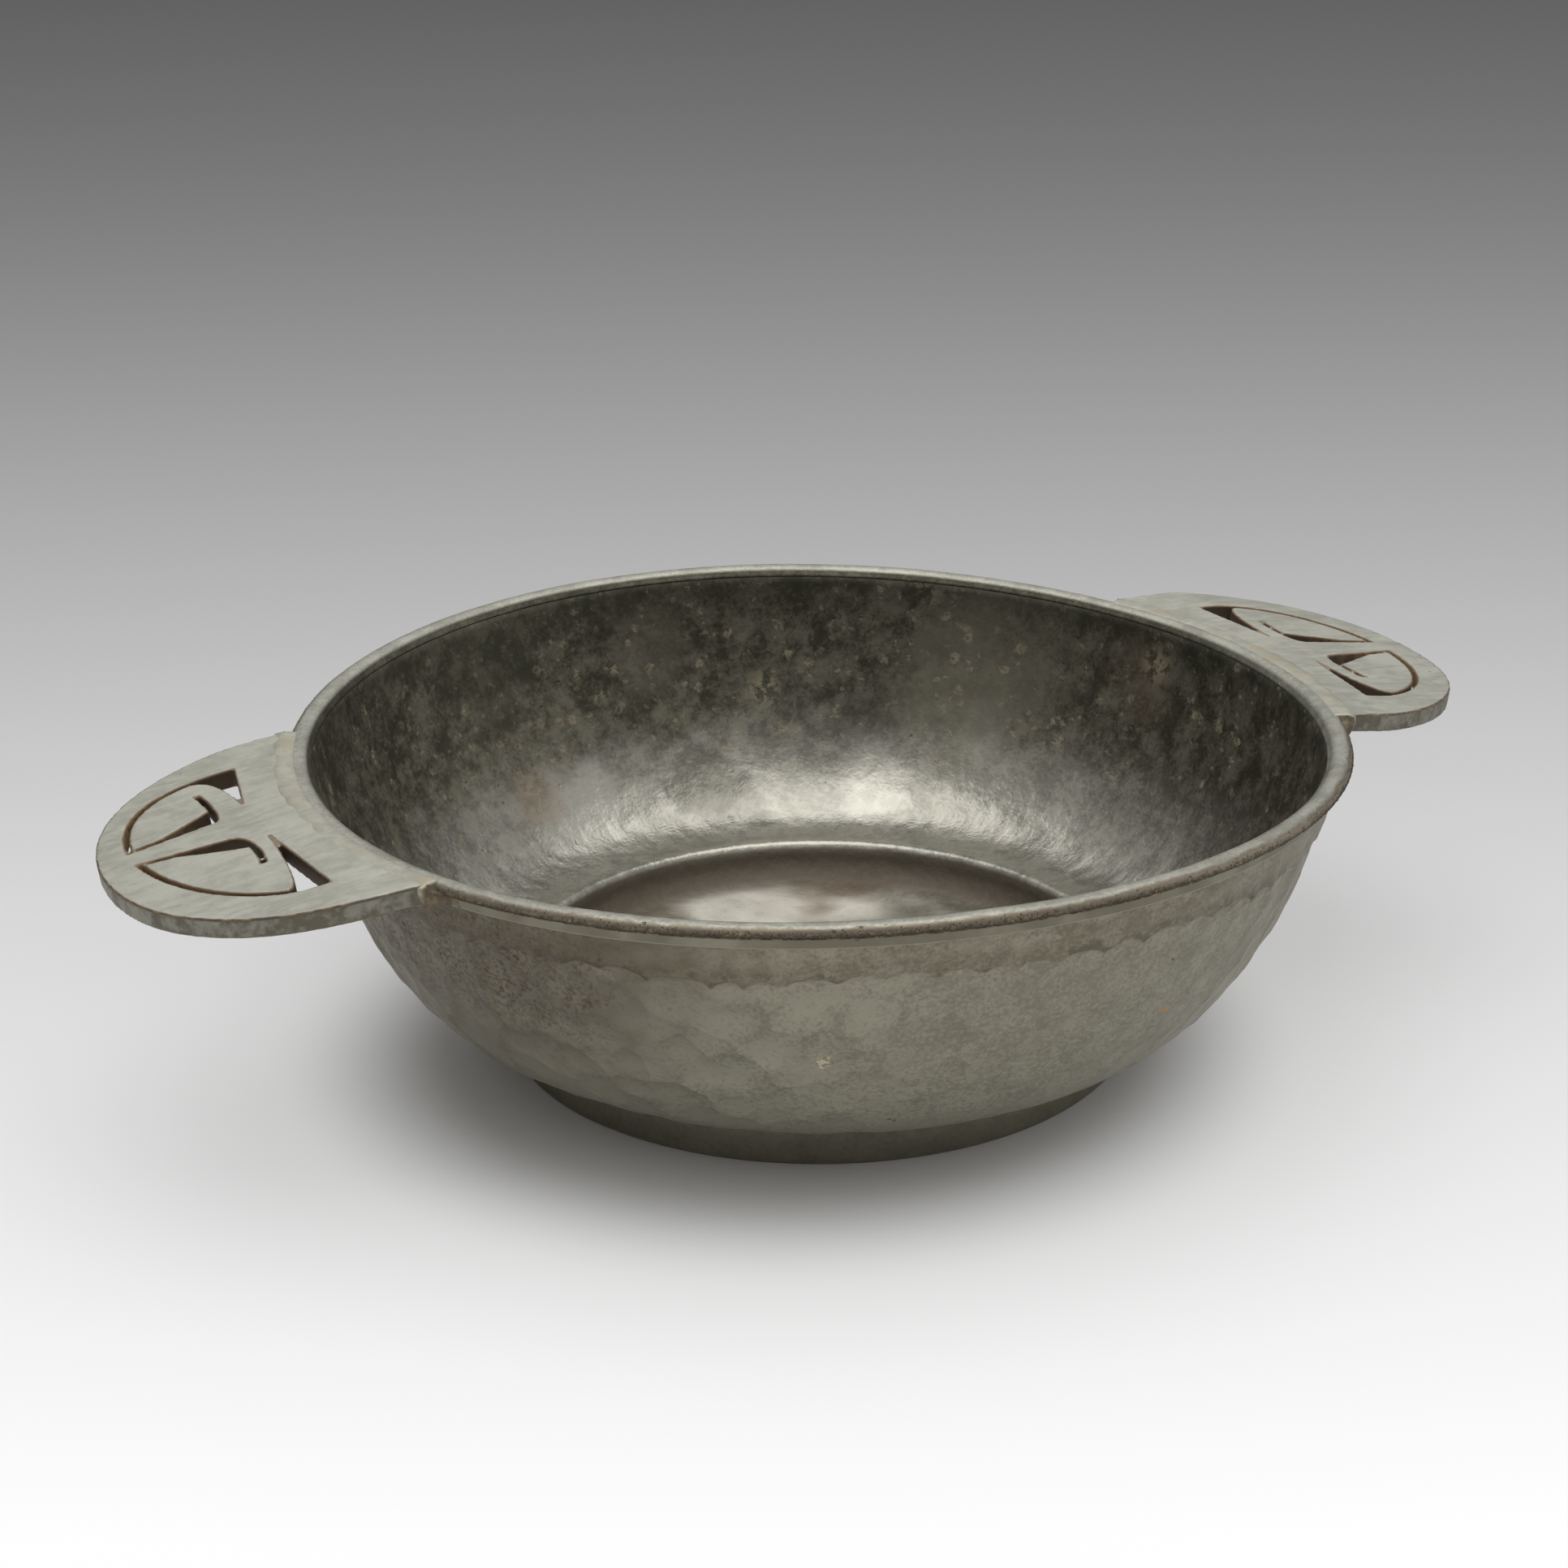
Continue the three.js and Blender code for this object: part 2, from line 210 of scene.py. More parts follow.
def derived():
    """Radii and heights that follow from the sizes."""
    s = sizes()
    bead_foot = s.rim_height - s.bead_height
    sheet_inside = s.rim_radius - s.bead_width
    foot_inside = s.foot_radius - s.foot_thickness
    return SimpleNamespace(
        bead_foot=bead_foot,
        band_top=bead_foot - s.seam_height - 2 * s.fit,
        sheet_inside=sheet_inside,
        sheet_outside=sheet_inside + s.wall,
        sheet_top=bead_foot - s.fit,
        foot_inside=foot_inside,
        seat=s.foot_height + s.fit,
        well_outside=foot_inside - s.well_gap,
        hinge_radius=s.rim_radius - s.hinge_inset,
        hinge_height=s.rim_height - s.rim_dip,
        root_radius=s.rim_radius + s.plate_gap,
    )


# Nodes


class Wire:
    """A node's socket that takes part in plain arithmetic."""

    def __init__(self, nodes, socket):
        self.nodes = nodes
        self.socket = socket

    def also(self, output):
        """Another output of the same node."""
        return Wire(self.nodes, self.socket.node.outputs[output])

    def __add__(self, other):
        return self.nodes.maths("ADD", self, other)

    def __radd__(self, other):
        return self.nodes.maths("ADD", other, self)

    def __sub__(self, other):
        return self.nodes.maths("SUBTRACT", self, other)

    def __rsub__(self, other):
        return self.nodes.maths("SUBTRACT", other, self)

    def __mul__(self, other):
        return self.nodes.maths("MULTIPLY", self, other)

    def __rmul__(self, other):
        return self.nodes.maths("MULTIPLY", other, self)

    def __truediv__(self, other):
        return self.nodes.maths("DIVIDE", self, other)

    def __rtruediv__(self, other):
        return self.nodes.maths("DIVIDE", other, self)

    def __pow__(self, other):
        return self.nodes.maths("POWER", self, other)


class Nodes:
    """A node tree that is built by calls."""

    def __init__(self, tree):
        self.tree = tree

    def add(self, kind, settings=None, inputs=None, output=0):
        """Adds a node, sets it up, fills its sockets with values or links and gives one output."""
        node = self.tree.nodes.new(kind)
        for key, value in (settings or {}).items():
            setattr(node, key, value)
        for key, value in (inputs or {}).items():
            if isinstance(value, Wire):
                self.tree.links.new(value.socket, node.inputs[key])
            else:
                node.inputs[key].default_value = value
        return Wire(self, node.outputs[output]) if node.outputs else None

    def maths(self, operation, first, second):
        return self.add("ShaderNodeMath", {"operation": operation}, {0: first, 1: second})

    def vector(self, operation, first, second, output=0):
        return self.add("ShaderNodeVectorMath", {"operation": operation}, {0: first, 1: second}, output)

    def cells(self, at, scale, smooth=0.0):
        """Distance to the middle of a random cell, in cells, with a number of cells to the metre."""
        feature = "SMOOTH_F1" if smooth else "F1"
        values = {"Vector": at, "Scale": scale}
        if smooth:
            values["Smoothness"] = smooth
        return self.add("ShaderNodeTexVoronoi", {"feature": feature}, values, "Distance")


class Finish(Nodes):
    """A metal's surface: patterns in the object's own space that feed one shader."""

    def __init__(self, name):
        self.material = bpy.data.materials.new(name)
        self.material.use_nodes = True
        super().__init__(self.material.node_tree)
        self.tree.nodes.clear()
        self.at = self.add("ShaderNodeTexCoord", output="Object")

    def mark(self, name):
        """A value that the mesh carries."""
        return self.add("ShaderNodeAttribute", {"attribute_name": name}, None, "Fac")

    def along(self, axis):
        """Place along one of the object's own axes, in metres."""
        return self.add("ShaderNodeSeparateXYZ", None, {0: self.at}, axis)

    def stretched(self, x, y, z):
        """The object's own space, scaled along each axis."""
        return self.vector("MULTIPLY", self.at, (x, y, z))

    def cloud(self, size, detail=3.0, rough=0.55, at=None, warp=0.0):
        """Soft noise from 0 to 1, with features of a given size."""
        values = {
            "Vector": at or self.at,
            "Scale": 1.0 / size,
            "Detail": detail,
            "Roughness": rough,
            "Distortion": warp,
        }
        return self.add("ShaderNodeTexNoise", None, values)

    def ease(self, value, low, high):
        """0 at low and 1 at high, eased between them."""
        values = {"Value": value, "From Min": low, "From Max": high}
        return self.add("ShaderNodeMapRange", {"interpolation_type": "SMOOTHSTEP"}, values)

    def warped(self, size, reach):
        """The object's own space, bent by soft noise."""
        bend = self.vector("SUBTRACT", self.cloud(size, 2.0).also("Color"), (0.5, 0.5, 0.5))
        return self.vector("ADD", self.at, self.vector("MULTIPLY", bend, (reach, reach, reach)))

    def specks(self, size, share, radius, at=None):
        """Round specks in some of the cells of a random pattern."""
        cell = self.cells(at or self.at, 1.0 / size)
        chance = self.add("ShaderNodeSeparateColor", None, {0: cell.also("Color")}, "Red")
        return self.ease(cell, radius, radius * 0.5) * self.ease(chance, 1.0 - share, 1.02 - share)

    def patch(self, place, radius, ragged):
        """One blot round a place, with a ragged edge."""
        away = self.vector("DISTANCE", self.at, tuple(MM * side for side in place), "Value")
        return self.ease(away + (ragged - 0.5) * (radius * MM * 2.2), radius * MM, radius * MM * 0.35)

    def blend(self, first, second, share):
        """Mixes two colours."""
        return self.add("ShaderNodeMix", {"data_type": "RGBA"}, {0: share, 6: first, 7: second}, 2)

    def close(self, base, roughness, metallic, relief, depth):
        """Joins the patterns to the shader."""
        normal = self.add(
            "ShaderNodeBump", None, {"Strength": 1.0, "Distance": depth, "Height": relief}
        )
        values = {"Base Color": base, "Roughness": roughness, "Metallic": metallic, "Normal": normal}
        shader = self.add("ShaderNodeBsdfPrincipled", None, values)
        self.add("ShaderNodeOutputMaterial", None, {"Surface": shader})
        return self.material


# Finishes
# Here f is the finish, c the colours, s the sizes and n the sheet's shared patterns


def sheet_patterns(f):
    """Marks and soft noise that the sheet's outside and inside share."""
    blotch = f.cloud(1.2 * MM, 4.0, 0.65) - 0.5
    grain = f.cloud(0.42 * MM, 3.0, 0.65) - 0.5
    return SimpleNamespace(
        inside=f.mark("inside"),
        beat=f.mark("beat"),
        up=f.along("Z"),
        wide=f.cloud(17 * MM, 4.0, 0.6) - 0.5,
        drift=f.cloud(6.5 * MM, 4.0, 0.65) - 0.5,
        mottle=f.cloud(3.2 * MM, 4.0, 0.65) - 0.5,
        blotch=blotch,
        grain=grain,
        speckle=grain * 1.2 + blotch * 0.65,
    )


def outside_metal(f, n):
    """Colour and relief outside: satin grey, brown under the strip, darker at the left below the rim."""
    c, s = colours(), sizes()
    over = f.mark("over")
    hollow = f.mark("hollow") - 0.5
    facet = f.cells(f.warped(3 * MM, 1.6 * MM), 1.0 / s.mark_size)
    stroke = f.vector("DOT_PRODUCT", facet.also("Color"), (1.0, 0.0, 0.0), "Value") - 0.5
    tone = n.speckle + n.mottle * 0.25 + hollow * 0.2 + stroke * n.beat * 0.15
    # Painted light from the floor: lighter towards the bottom
    tone = tone + f.ease(n.up, 17 * MM, 6 * MM) * 0.1
    # Painted light: lighter towards the left of the middle
    tone = tone + f.ease(f.along("X"), -8 * MM, -26 * MM) * 0.17
    base = f.blend(c.outside_deep, c.outside_pale, f.ease(tone, -0.26, 0.26))
    smooth = f.ease(over, 0.47, 0.53)
    along = f.cloud(3.4 * MM, 4.0, 0.7, f.stretched(0.5, 0.5, 1.3)) - 0.5
    cover = f.ease(n.speckle * 0.8 + n.mottle * 0.8 + along * 1.2, -0.3, 0.42)
    tarnish = f.blend(c.outside_brown, c.outside_pale, cover)
    base = f.blend(base, tarnish, smooth * 0.9)
    smudge = f.ease(over, 1.0, 0.56) * smooth * f.ease(along + n.blotch * 0.6, -0.04, 0.12)
    base = f.blend(base, c.dark_dirt_and_shade, smudge * 0.75)
    scuff = f.ease(along * 0.6 + n.drift + n.blotch * 0.7, 0.0, 0.4)
    base = f.blend(base, c.outside_brown, scuff * 0.45)
    # Painted shade: darker at the left below the rim, more so higher up
    shaded = f.ease(f.along("X"), -26 * MM, -46 * MM) * (0.4 + f.ease(n.up, 10 * MM, 24 * MM) * 0.6)
    base = f.blend(base, c.dark_dirt_and_shade, shaded * (0.7 + n.speckle * 1.3 + n.mottle * 0.6))
    flake = f.patch((-22.5, -46.3, 19.4), 1.1, f.cloud(0.7 * MM, 3.0, 0.7))
    flake = flake * f.ease(n.grain, -0.12, 0.02)
    base = f.blend(base, c.flake, flake * 0.9)
    base = f.blend(base, c.rust, f.patch((14.0, -49.3, 18.8), 0.75, n.grain + 0.5))
    relief = flake * 0.6 + facet * facet * n.beat * (1 - n.inside) * 3.4 + smooth * 0.3
    return base, relief


def inside_metal(f, n):
    """Colour, spots and rubbed share inside: dark oxide with beige spots, rubbed paler down the slope."""
    c = colours()
    rubbed = f.ease(n.up + n.wide * (14 * MM) + n.drift * (10 * MM), 22 * MM, 9 * MM)
    thin = f.ease(n.mottle * 0.55 + n.drift * 0.45 + n.blotch * 0.5 + n.grain * 0.35, -0.15, 0.2)
    base = f.blend(c.deep_oxide_and_shade, c.thin_oxide_and_shade, thin * 0.8)
    base = f.blend(base, c.inside_pale, rubbed * (0.5 + thin * 0.4))
    smear = f.ease(n.mottle * 0.7 + n.blotch * 0.5 + n.drift * 0.4, 0.06, 0.2)
    base = f.blend(base, c.thin_oxide_and_shade, rubbed * smear * 0.55)
    for place, radius, shade, share in (
        ((25.0, 41.5, 18.5), 10.0, c.pit, 0.4),
        # Painted shade over the left part of the far wall's highlight
        ((7.0, 43.2, 11.0), 7.0, c.deep_oxide_and_shade, 0.55),
        ((-20.8, 48.3, 27.4), 8.0, c.deep_oxide_and_shade, 0.5),
        # Painted highlight on the far wall, right of the middle
        ((26.0, 36.0, 11.0), 7.0, c.pale_wear_and_highlight, 0.25),
        ((49.0, 14.0, 29.0), 7.0, c.stain, 0.35),
        ((-11.0, 43.0, 11.5), 9.0, c.inside_pale, 0.75),
        ((38.0, 31.0, 17.0), 6.5, c.inside_pale, 0.3),
        ((40.0, 34.0, 24.0), 15.0, c.thin_oxide_and_shade, 0.65),
        # Painted highlight between the well's lip and the far wall
        ((11.0, 35.5, 8.6), 14.0, c.pale_wear_and_highlight, 0.08),
        ((2.4, 52.6, 27.8), 6.5, c.thin_oxide_and_shade, 0.4),
        ((-17.0, 43.6, 14.1), 5.0, c.stain, 0.4),
    ):
        base = f.blend(base, shade, f.patch(place, radius, n.drift + 0.5) * share)
    spotted = f.ease(n.drift * 0.6 + n.wide * 0.4, -0.06, 0.1) * f.ease(n.up, 10 * MM, 18 * MM)
    ragged = f.warped(0.9 * MM, 1.3 * MM)
    large = f.specks(2.2 * MM, 0.35, 0.36, ragged)
    small = f.specks(1.1 * MM, 0.35, 0.4, ragged)
    spots = f.maths("MAXIMUM", large * 0.85, small * 0.65) * (spotted * 0.7 + 0.3)
    spots = spots * f.ease(n.up, 9 * MM, 15 * MM) * f.ease(n.grain, -0.15, 0.05)
    for place, radius in (
        ((16.0, 48.3, 21.8), 3.6),
        ((46.6, 13.3, 16.4), 1.2),
        ((36.1, 40.8, 33.6), 2.6),
        ((-16.9, 43.6, 14.1), 4.5),
        ((52.0, 13.2, 30.0), 3.8),
    ):
        blot = f.patch(place, radius, n.blotch + 0.5) * f.ease(n.blotch, -0.04, 0.1)
        spots = f.maths("MAXIMUM", spots, blot * 0.75)
    base = f.blend(base, c.oxide, spots)
    base = f.blend(base, c.deep_oxide_and_shade, f.ease(n.up, 29 * MM, 35 * MM) * 0.5)
    return base, spots, rubbed


def well_metal(f, n, base):
    """The inside's colour with the well laid over it, and the shares of its worn floor and dark wall."""
    c = colours()
    out = f.vector("LENGTH", f.stretched(1.0, 1.0, 0.0), (0.0, 0.0, 0.0), "Value")
    floor = f.ease(n.up, 5.6 * MM, 4.0 * MM)
    soft = f.cloud(8 * MM, 1.5, 0.45)
    # Partly wear, partly painted highlight: a near-white patch on the far part of the well's floor
    worn = floor * f.patch((4.0, 23.0, 3.9), 20.0, soft * 0.5 + 0.25) * f.ease(out, 31 * MM, 26.5 * MM)
    base = f.blend(base, c.thin_oxide_and_shade, floor * (0.4 + n.drift * 0.5))
    base = f.blend(base, c.pale_wear_and_highlight, worn * (0.8 + n.drift * 1.2))
    base = f.blend(base, c.stain, floor * (0.06 + f.ease(soft + n.drift * 0.6, 0.4, 0.85) * 0.7))
    for place, radius in (((17.0, 24.5, 4.2), 7.0), ((-11.0, 26.0, 4.2), 6.0)):
        base = f.blend(base, c.stain, floor * f.patch(place, radius, n.drift + 0.5) * 0.6)
    # Painted shade on the well's wall, from just under the lip down towards the floor
    wall = f.ease(out, 27.6 * MM, 31.0 * MM) * f.ease(n.up, 7.7 * MM, 7.0 * MM)
    base = f.blend(base, c.dark_dirt_and_shade, wall * 0.92)
    # Painted highlight: a pale line along the far side of the well's lip
    lip = f.mark("lip") * f.patch((11.0, 31.5, 7.9), 20.0, n.drift + 0.5)
    base = f.blend(base, c.solder_pale_and_highlight, lip * 0.5)
    return base, worn, wall


def sheet_finish():
    """Beaten sheet: satin grey outside, dark and spotted inside, worn pale and brown in the well."""
    c = colours()
    f = Finish("beaten_sheet")
    n = sheet_patterns(f)
    pits = f.specks(2.6 * MM, 0.34, 0.12, f.warped(1.2 * MM, 1.0 * MM)) * f.ease(n.mottle, -0.12, 0.08)
    dust = f.specks(5.5 * MM, 0.14, 0.03)
    outer, relief = outside_metal(f, n)
    inner, spots, rubbed = inside_metal(f, n)
    inner, worn, wall = well_metal(f, n, inner)
    base = f.blend(outer, inner, n.inside)
    base = f.blend(base, c.pit, pits * (0.65 - n.inside * 0.35))
    base = f.blend(base, c.dust, dust * (1 - n.inside * 0.7) * 0.8)
    crust = f.maths("MAXIMUM", spots * n.inside, dust * 0.5)
    roughness = 0.5 + n.mottle * 0.2 + n.grain * 0.25 + crust * 0.25
    roughness = roughness - n.inside * (rubbed * 0.18 - wall * 0.3)
    metallic = 0.75 - crust * 0.5 - n.inside * (worn * 0.5 + wall * 0.3)
    dents = f.cells(f.stretched(1.0, 1.0, 0.7), 1.0 / (2.6 * MM), 0.5)
    relief = relief + n.mottle * 0.7 + (n.blotch * 0.7 + n.grain * 0.5) * (1 - n.inside * 0.8)
    relief = relief - pits * 0.6 + spots * n.inside * 0.3
    relief = relief + (dents * dents * 0.2 + n.mottle * 1.1 + n.drift * 2.4) * n.inside * rubbed
    return f.close(base, roughness, metallic, relief, 0.1 * MM)


def wire_finish():
    """Rim wire: pale worn top, dark inner face at the far side, brown outer face with dirt below."""
    c = colours()
    f = Finish("rim_wire")
    under = f.mark("under")
    inner = f.mark("inner")
    soft = f.cloud(6 * MM, 3.0) - 0.5
    mottle = f.cloud(1.8 * MM, 4.0, 0.7) - 0.5
    fine = f.cloud(0.4 * MM, 3.0, 0.65) - 0.5
    pits = f.specks(1.2 * MM, 0.3, 0.2) * f.ease(under, 0.1, 0.4)
    grit = f.specks(0.9 * MM, 0.22, 0.16) * f.ease(under, 0.85, 0.3)
    tone = f.ease(soft * 0.6 + mottle * 0.5 + fine * 0.5, -0.16, 0.16)
    crest = f.blend(c.wire_deep, c.wire_pale, tone)
    brown = f.ease(under + soft * 0.6 + mottle * 0.9, 0.22, 0.5)
    crest = f.blend(crest, c.wire_brown, brown * 0.85)
    # Painted shade: the wire's inner face takes the inside's dark oxide colours, on the far side only
    far_inner_shade = f.blend(c.deep_oxide_and_shade, c.thin_oxide_and_shade, f.ease(mottle + fine * 0.6, -0.2, 0.3) * 0.5)
    near = f.ease(f.along("Y"), 15 * MM, -25 * MM)
    crest = f.blend(crest, far_inner_shade, f.ease(inner + mottle * 0.5, 0.1, 0.75) * (1 - near * 0.85))
    dirt = f.ease(under + mottle * 1.3 + soft * 0.6, 0.66, 0.95)
    crust = f.blend(c.dark_dirt_and_shade, c.crust_tan, f.ease(fine * 0.6 + mottle * 0.6, 0.03, 0.17))
    base = f.blend(crest, crust, dirt * 0.85)
    ochre = f.ease(mottle + soft * 0.8, 0.24, 0.34) * f.ease(under, 0.15, 0.4)
    base = f.blend(base, c.solder_ochre, ochre * 0.7)
    base = f.blend(base, c.dark_dirt_and_shade, f.maths("MAXIMUM", pits * 0.6, f.ease(under, 0.86, 1.0) * 0.75))
    base = f.blend(base, c.dust, grit * 0.45)
    roughness = 0.46 + dirt * 0.26 + mottle * 0.2
    metallic = 0.75 - dirt * 0.5
    relief = fine * (0.25 + dirt * 0.8) + mottle * 0.6 - pits * 0.8 + grit * 0.4
    return f.close(base, roughness, metallic, relief, 0.1 * MM)


def strip_finish():
    """Rim strip: smooth dull face, pale lower arris."""
    c = colours()
    f = Finish("rim_strip")
    edge = f.mark("edge")
    soft = f.cloud(7 * MM, 3.0)
    mottle = f.cloud(1.3 * MM, 4.0, 0.6)
    worn = f.ease(edge + (mottle - 0.5) * 0.5, 0.45, 0.8)
    face = f.blend(c.strip_deep, c.outside_pale, f.ease(soft, 0.4, 0.7) * 0.5)
    base = f.blend(face, c.strip_pale, worn)
    base = f.blend(base, c.dark_dirt_and_shade, f.specks(1.8 * MM, 0.35, 0.2) * 0.6)
    roughness = 0.42 + (mottle - 0.5) * 0.2
    return f.close(base, roughness, 0.8 - worn * 0.1, mottle * 0.4 + soft * 0.4, 0.05 * MM)


def crust_finish():
    """Solder and dirt between the wire and the strip."""
    c = colours()
    f = Finish("rim_seam")
    mottle = f.cloud(0.9 * MM, 4.0, 0.65)
    base = f.blend(c.dark_dirt_and_shade, c.crust_tan, f.ease(mottle, 0.45, 0.65))
    return f.close(base, 0.7 + (mottle - 0.5) * 0.3, 0.2, mottle, 0.12 * MM)


def foot_finish():
    """Foot ring: dark olive face, thin worn line along its lower edge."""
    c = colours()
    f = Finish("foot_strip")
    worn = f.mark("worn")
    soft = f.cloud(9 * MM, 3.0)
    mottle = f.cloud(1.8 * MM, 4.0, 0.65)
    tone = f.ease(soft * 0.3 + mottle * 0.4 + f.cloud(0.6 * MM, 3.0, 0.65) * 0.3, 0.14, 0.84)
    upper = f.ease(f.along("Z"), 1.5 * MM, 4.0 * MM)
    face = f.blend(c.foot_deep, c.outside_pale, tone * (0.85 + upper * 0.25))
    rubbed = f.ease(worn + (mottle - 0.5) * 0.6, 0.4, 0.8)
    base = f.blend(face, c.foot_pale, rubbed)
    base = f.blend(base, c.dust, f.specks(4.5 * MM, 0.15, 0.05) * 0.7)
    roughness = 0.55 + (mottle - 0.5) * 0.25 - rubbed * 0.1
    return f.close(base, roughness, 0.7, mottle * 0.7 + soft * 0.5, 0.08 * MM)


def foot_seam_finish():
    """Dull solder inside the foot."""
    c = colours()
    f = Finish("foot_seam")
    mottle = f.cloud(1.1 * MM, 4.0, 0.6)
    base = f.blend(c.outside_deep, c.solder_ochre, f.ease(mottle, 0.42, 0.66))
    return f.close(base, 0.62 + (mottle - 0.5) * 0.2, 0.5, mottle, 0.12 * MM)


def plate_finish():
    """Handle plates: pale worn top, brown rubbed edges, dark sides, cuts that turn tan near the tip."""
    c = colours()
    f = Finish("handle_plate")
    edge = f.mark("edge")
    side = f.mark("side")
    slot = f.mark("slot")
    out = f.mark("out")
    wide = f.cloud(9 * MM, 3.0)
    drawn = f.cloud(1.1 * MM, 3.0, 0.55, f.stretched(0.16, 1.0, 1.0), 0.6)
    mottle = f.cloud(1.5 * MM, 4.0, 0.65)
    fine = f.cloud(0.35 * MM, 2.0)
    tone = f.ease(wide * 0.45 + drawn * 0.3 + mottle * 0.25, 0.4, 0.6)
    top = f.blend(c.plate_deep, c.plate_pale, tone)
    outer = f.blend(c.plate_side, c.plate_deep, f.ease(mottle * 0.6 + wide * 0.4, 0.44, 0.62) * 0.5)
    tan = f.ease(out + (f.cloud(4 * MM, 2.0) - 0.5) * (12 * MM), 67 * MM, 73 * MM)
    cut = f.blend(c.slot_dark, c.slot_tan, tan * f.ease(mottle, 0.3, 0.5))
    flank = f.blend(outer, cut, slot)
    base = f.blend(top, flank, f.ease(side, 0.3, 0.7))
    rubbed = f.ease(edge + (mottle - 0.5) * 0.5, 0.55, 0.85)
    rub = f.blend(c.rub, c.dark_dirt_and_shade, f.ease(mottle, 0.42, 0.58) * (1 - slot * 0.5))
    shown = f.ease(wide + mottle + slot * 0.12, 0.68, 0.95) * (0.9 - slot * 0.1)
    base = f.blend(base, rub, rubbed * shown)
    pits = f.specks(3.6 * MM, 0.2, 0.06)
    base = f.blend(base, c.pit, pits * 0.5)
    base = f.blend(base, c.dust, f.specks(6 * MM, 0.2, 0.04) * 0.7)
    roughness = 0.5 + (drawn - 0.5) * 0.2 + side * slot * 0.25 + rubbed * 0.1
    metallic = 0.65 - side * slot * 0.45 - rubbed * 0.3
    relief = drawn * 0.3 + mottle * 0.6 + fine * 0.35 - pits
    return f.close(base, roughness, metallic, relief, 0.06 * MM)


def solder_finish():
    """Handle seams: pale solder rubbed level with the rim, ochre and brown at its ends."""
    c = colours()
    f = Finish("handle_seam")
    ends = f.mark("ends")
    mottle = f.cloud(1.7 * MM, 4.0, 0.65)
    soft = f.cloud(5 * MM, 3.0)
    fine = f.cloud(0.4 * MM, 2.0)
    stained = f.ease(soft * 0.55 + mottle * 0.45, 0.5, 0.62)
    top = f.blend(c.plate_deep, c.solder_pale_and_highlight, f.ease(mottle, 0.35, 0.65))
    top = f.blend(top, c.solder_ochre, stained * 0.5)
    low = f.blend(c.solder_ochre, c.dark_dirt_and_shade, 0.6 + f.ease(mottle, 0.4, 0.6) * 0.35)
    base = f.blend(top, low, ends)
    base = f.blend(base, c.rub, f.specks(1.9 * MM, 0.16, 0.16) * 0.6)
    roughness = 0.5 + ends * 0.15 + (mottle - 0.5) * 0.2
    return f.close(base, roughness, 0.65 - ends * 0.3, mottle * 0.5 + fine * 0.2, 0.08 * MM)


# Mesh helpers


def eased(share):
    """A share held between 0 and 1, with a soft start and end."""
    share = min(max(share, 0.0), 1.0)
    return share * share * (3 - 2 * share)


def uneven(place, size, seed):
    """Smooth noise from about -1 to 1 at a place in metres."""
    return noise.noise(Vector(place) / size + Vector((seed * 7.31, seed * 3.17, seed * 5.53)))


def dipped(height, bearing):
    """The beaten rim sinks towards the handles and rises between them."""
    s = sizes()
    return height - s.rim_dip * (height / s.rim_height) ** 2 * math.cos(2 * bearing)


def resampled(line, spacing):
    """Points at even spacing along a line of (radius, height) points, both ends kept."""
    ends = [Vector(spot) for spot in line]
    runs = [(b - a).length for a, b in zip(ends, ends[1:])]
    count = max(round(sum(runs) / spacing), 1)
    step = sum(runs) / count
    found = [ends[0]]
    walked, index = 0.0, 0
    for k in range(1, count):
        while index < len(runs) - 1 and walked + runs[index] < k * step:
            walked += runs[index]
            index += 1
        found.append(ends[index].lerp(ends[index + 1], (k * step - walked) / runs[index]))
    found.append(ends[-1])
    return found


def arc(centre, radius, start, end, steps):
    """Points along an arc between two angles in degrees."""
    turns = (math.radians(start + (end - start) * k / steps) for k in range(steps + 1))
    return [Vector((centre[0] + radius * math.cos(t), centre[1] + radius * math.sin(t))) for t in turns]


def line_normals(line, loop):
    """Unit normals of a profile, on the right of its direction."""
    count = len(line)
    found = []
    for k in range(count):
        before = line[k - 1] if loop or k > 0 else line[k]
        after = line[(k + 1) % count] if loop or k < count - 1 else line[k]
        along = (after - before).normalized()
        found.append(Vector((along.y, -along.x)))
    return found


def new_piece(name, points, faces, marks):
    """A smooth mesh object with named values on its points."""
    mesh = bpy.data.meshes.new(name)
    mesh.from_pydata(points, [], faces)
    for mark, values in marks.items():
        mesh.attributes.new(mark, "FLOAT", "POINT").data.foreach_set("value", values)
    mesh.shade_smooth()
    mesh.update()
    piece = bpy.data.objects.new(name, mesh)
    bpy.context.collection.objects.link(piece)
    return piece


def turned_piece(name, line, press, marks, steps, loop=True, beaten=True):
    """Turns a profile about Z, pressing each point in along its normal and giving it named values.

    Each mark is a list with a value for every point of the profile, or a function of index and place.
    """
    points, rows, faces = [], [], []
    values = {mark: [] for mark in marks}
    for index, (spot, normal) in enumerate(zip(line, line_normals(line, loop))):
        pole = spot.x < 1e-7
        rows.append([])
        for k in range(1 if pole else steps):
            bearing = TURN * k / steps
            place = (spot.x * math.cos(bearing), spot.x * math.sin(bearing), spot.y)
            moved = spot - normal * press(index, place)
            radius = 0.0 if pole else moved.x
            height = dipped(moved.y, bearing) if beaten else moved.y
            rows[-1].append(len(points))
            points.append((radius * math.cos(bearing), radius * math.sin(bearing), height))
            for mark, level in marks.items():
                values[mark].append(level(index, place) if callable(level) else level[index])
        if pole:
            rows[-1] *= steps
    for low, high in zip(rows, rows[1:] + rows[: 1 if loop else 0]):
        for k in range(steps):
            after = (k + 1) % steps
            corners = (low[k], low[after], high[after], high[k])
            faces.append(tuple(dict.fromkeys(corners)))
    return new_piece(name, points, faces, values)


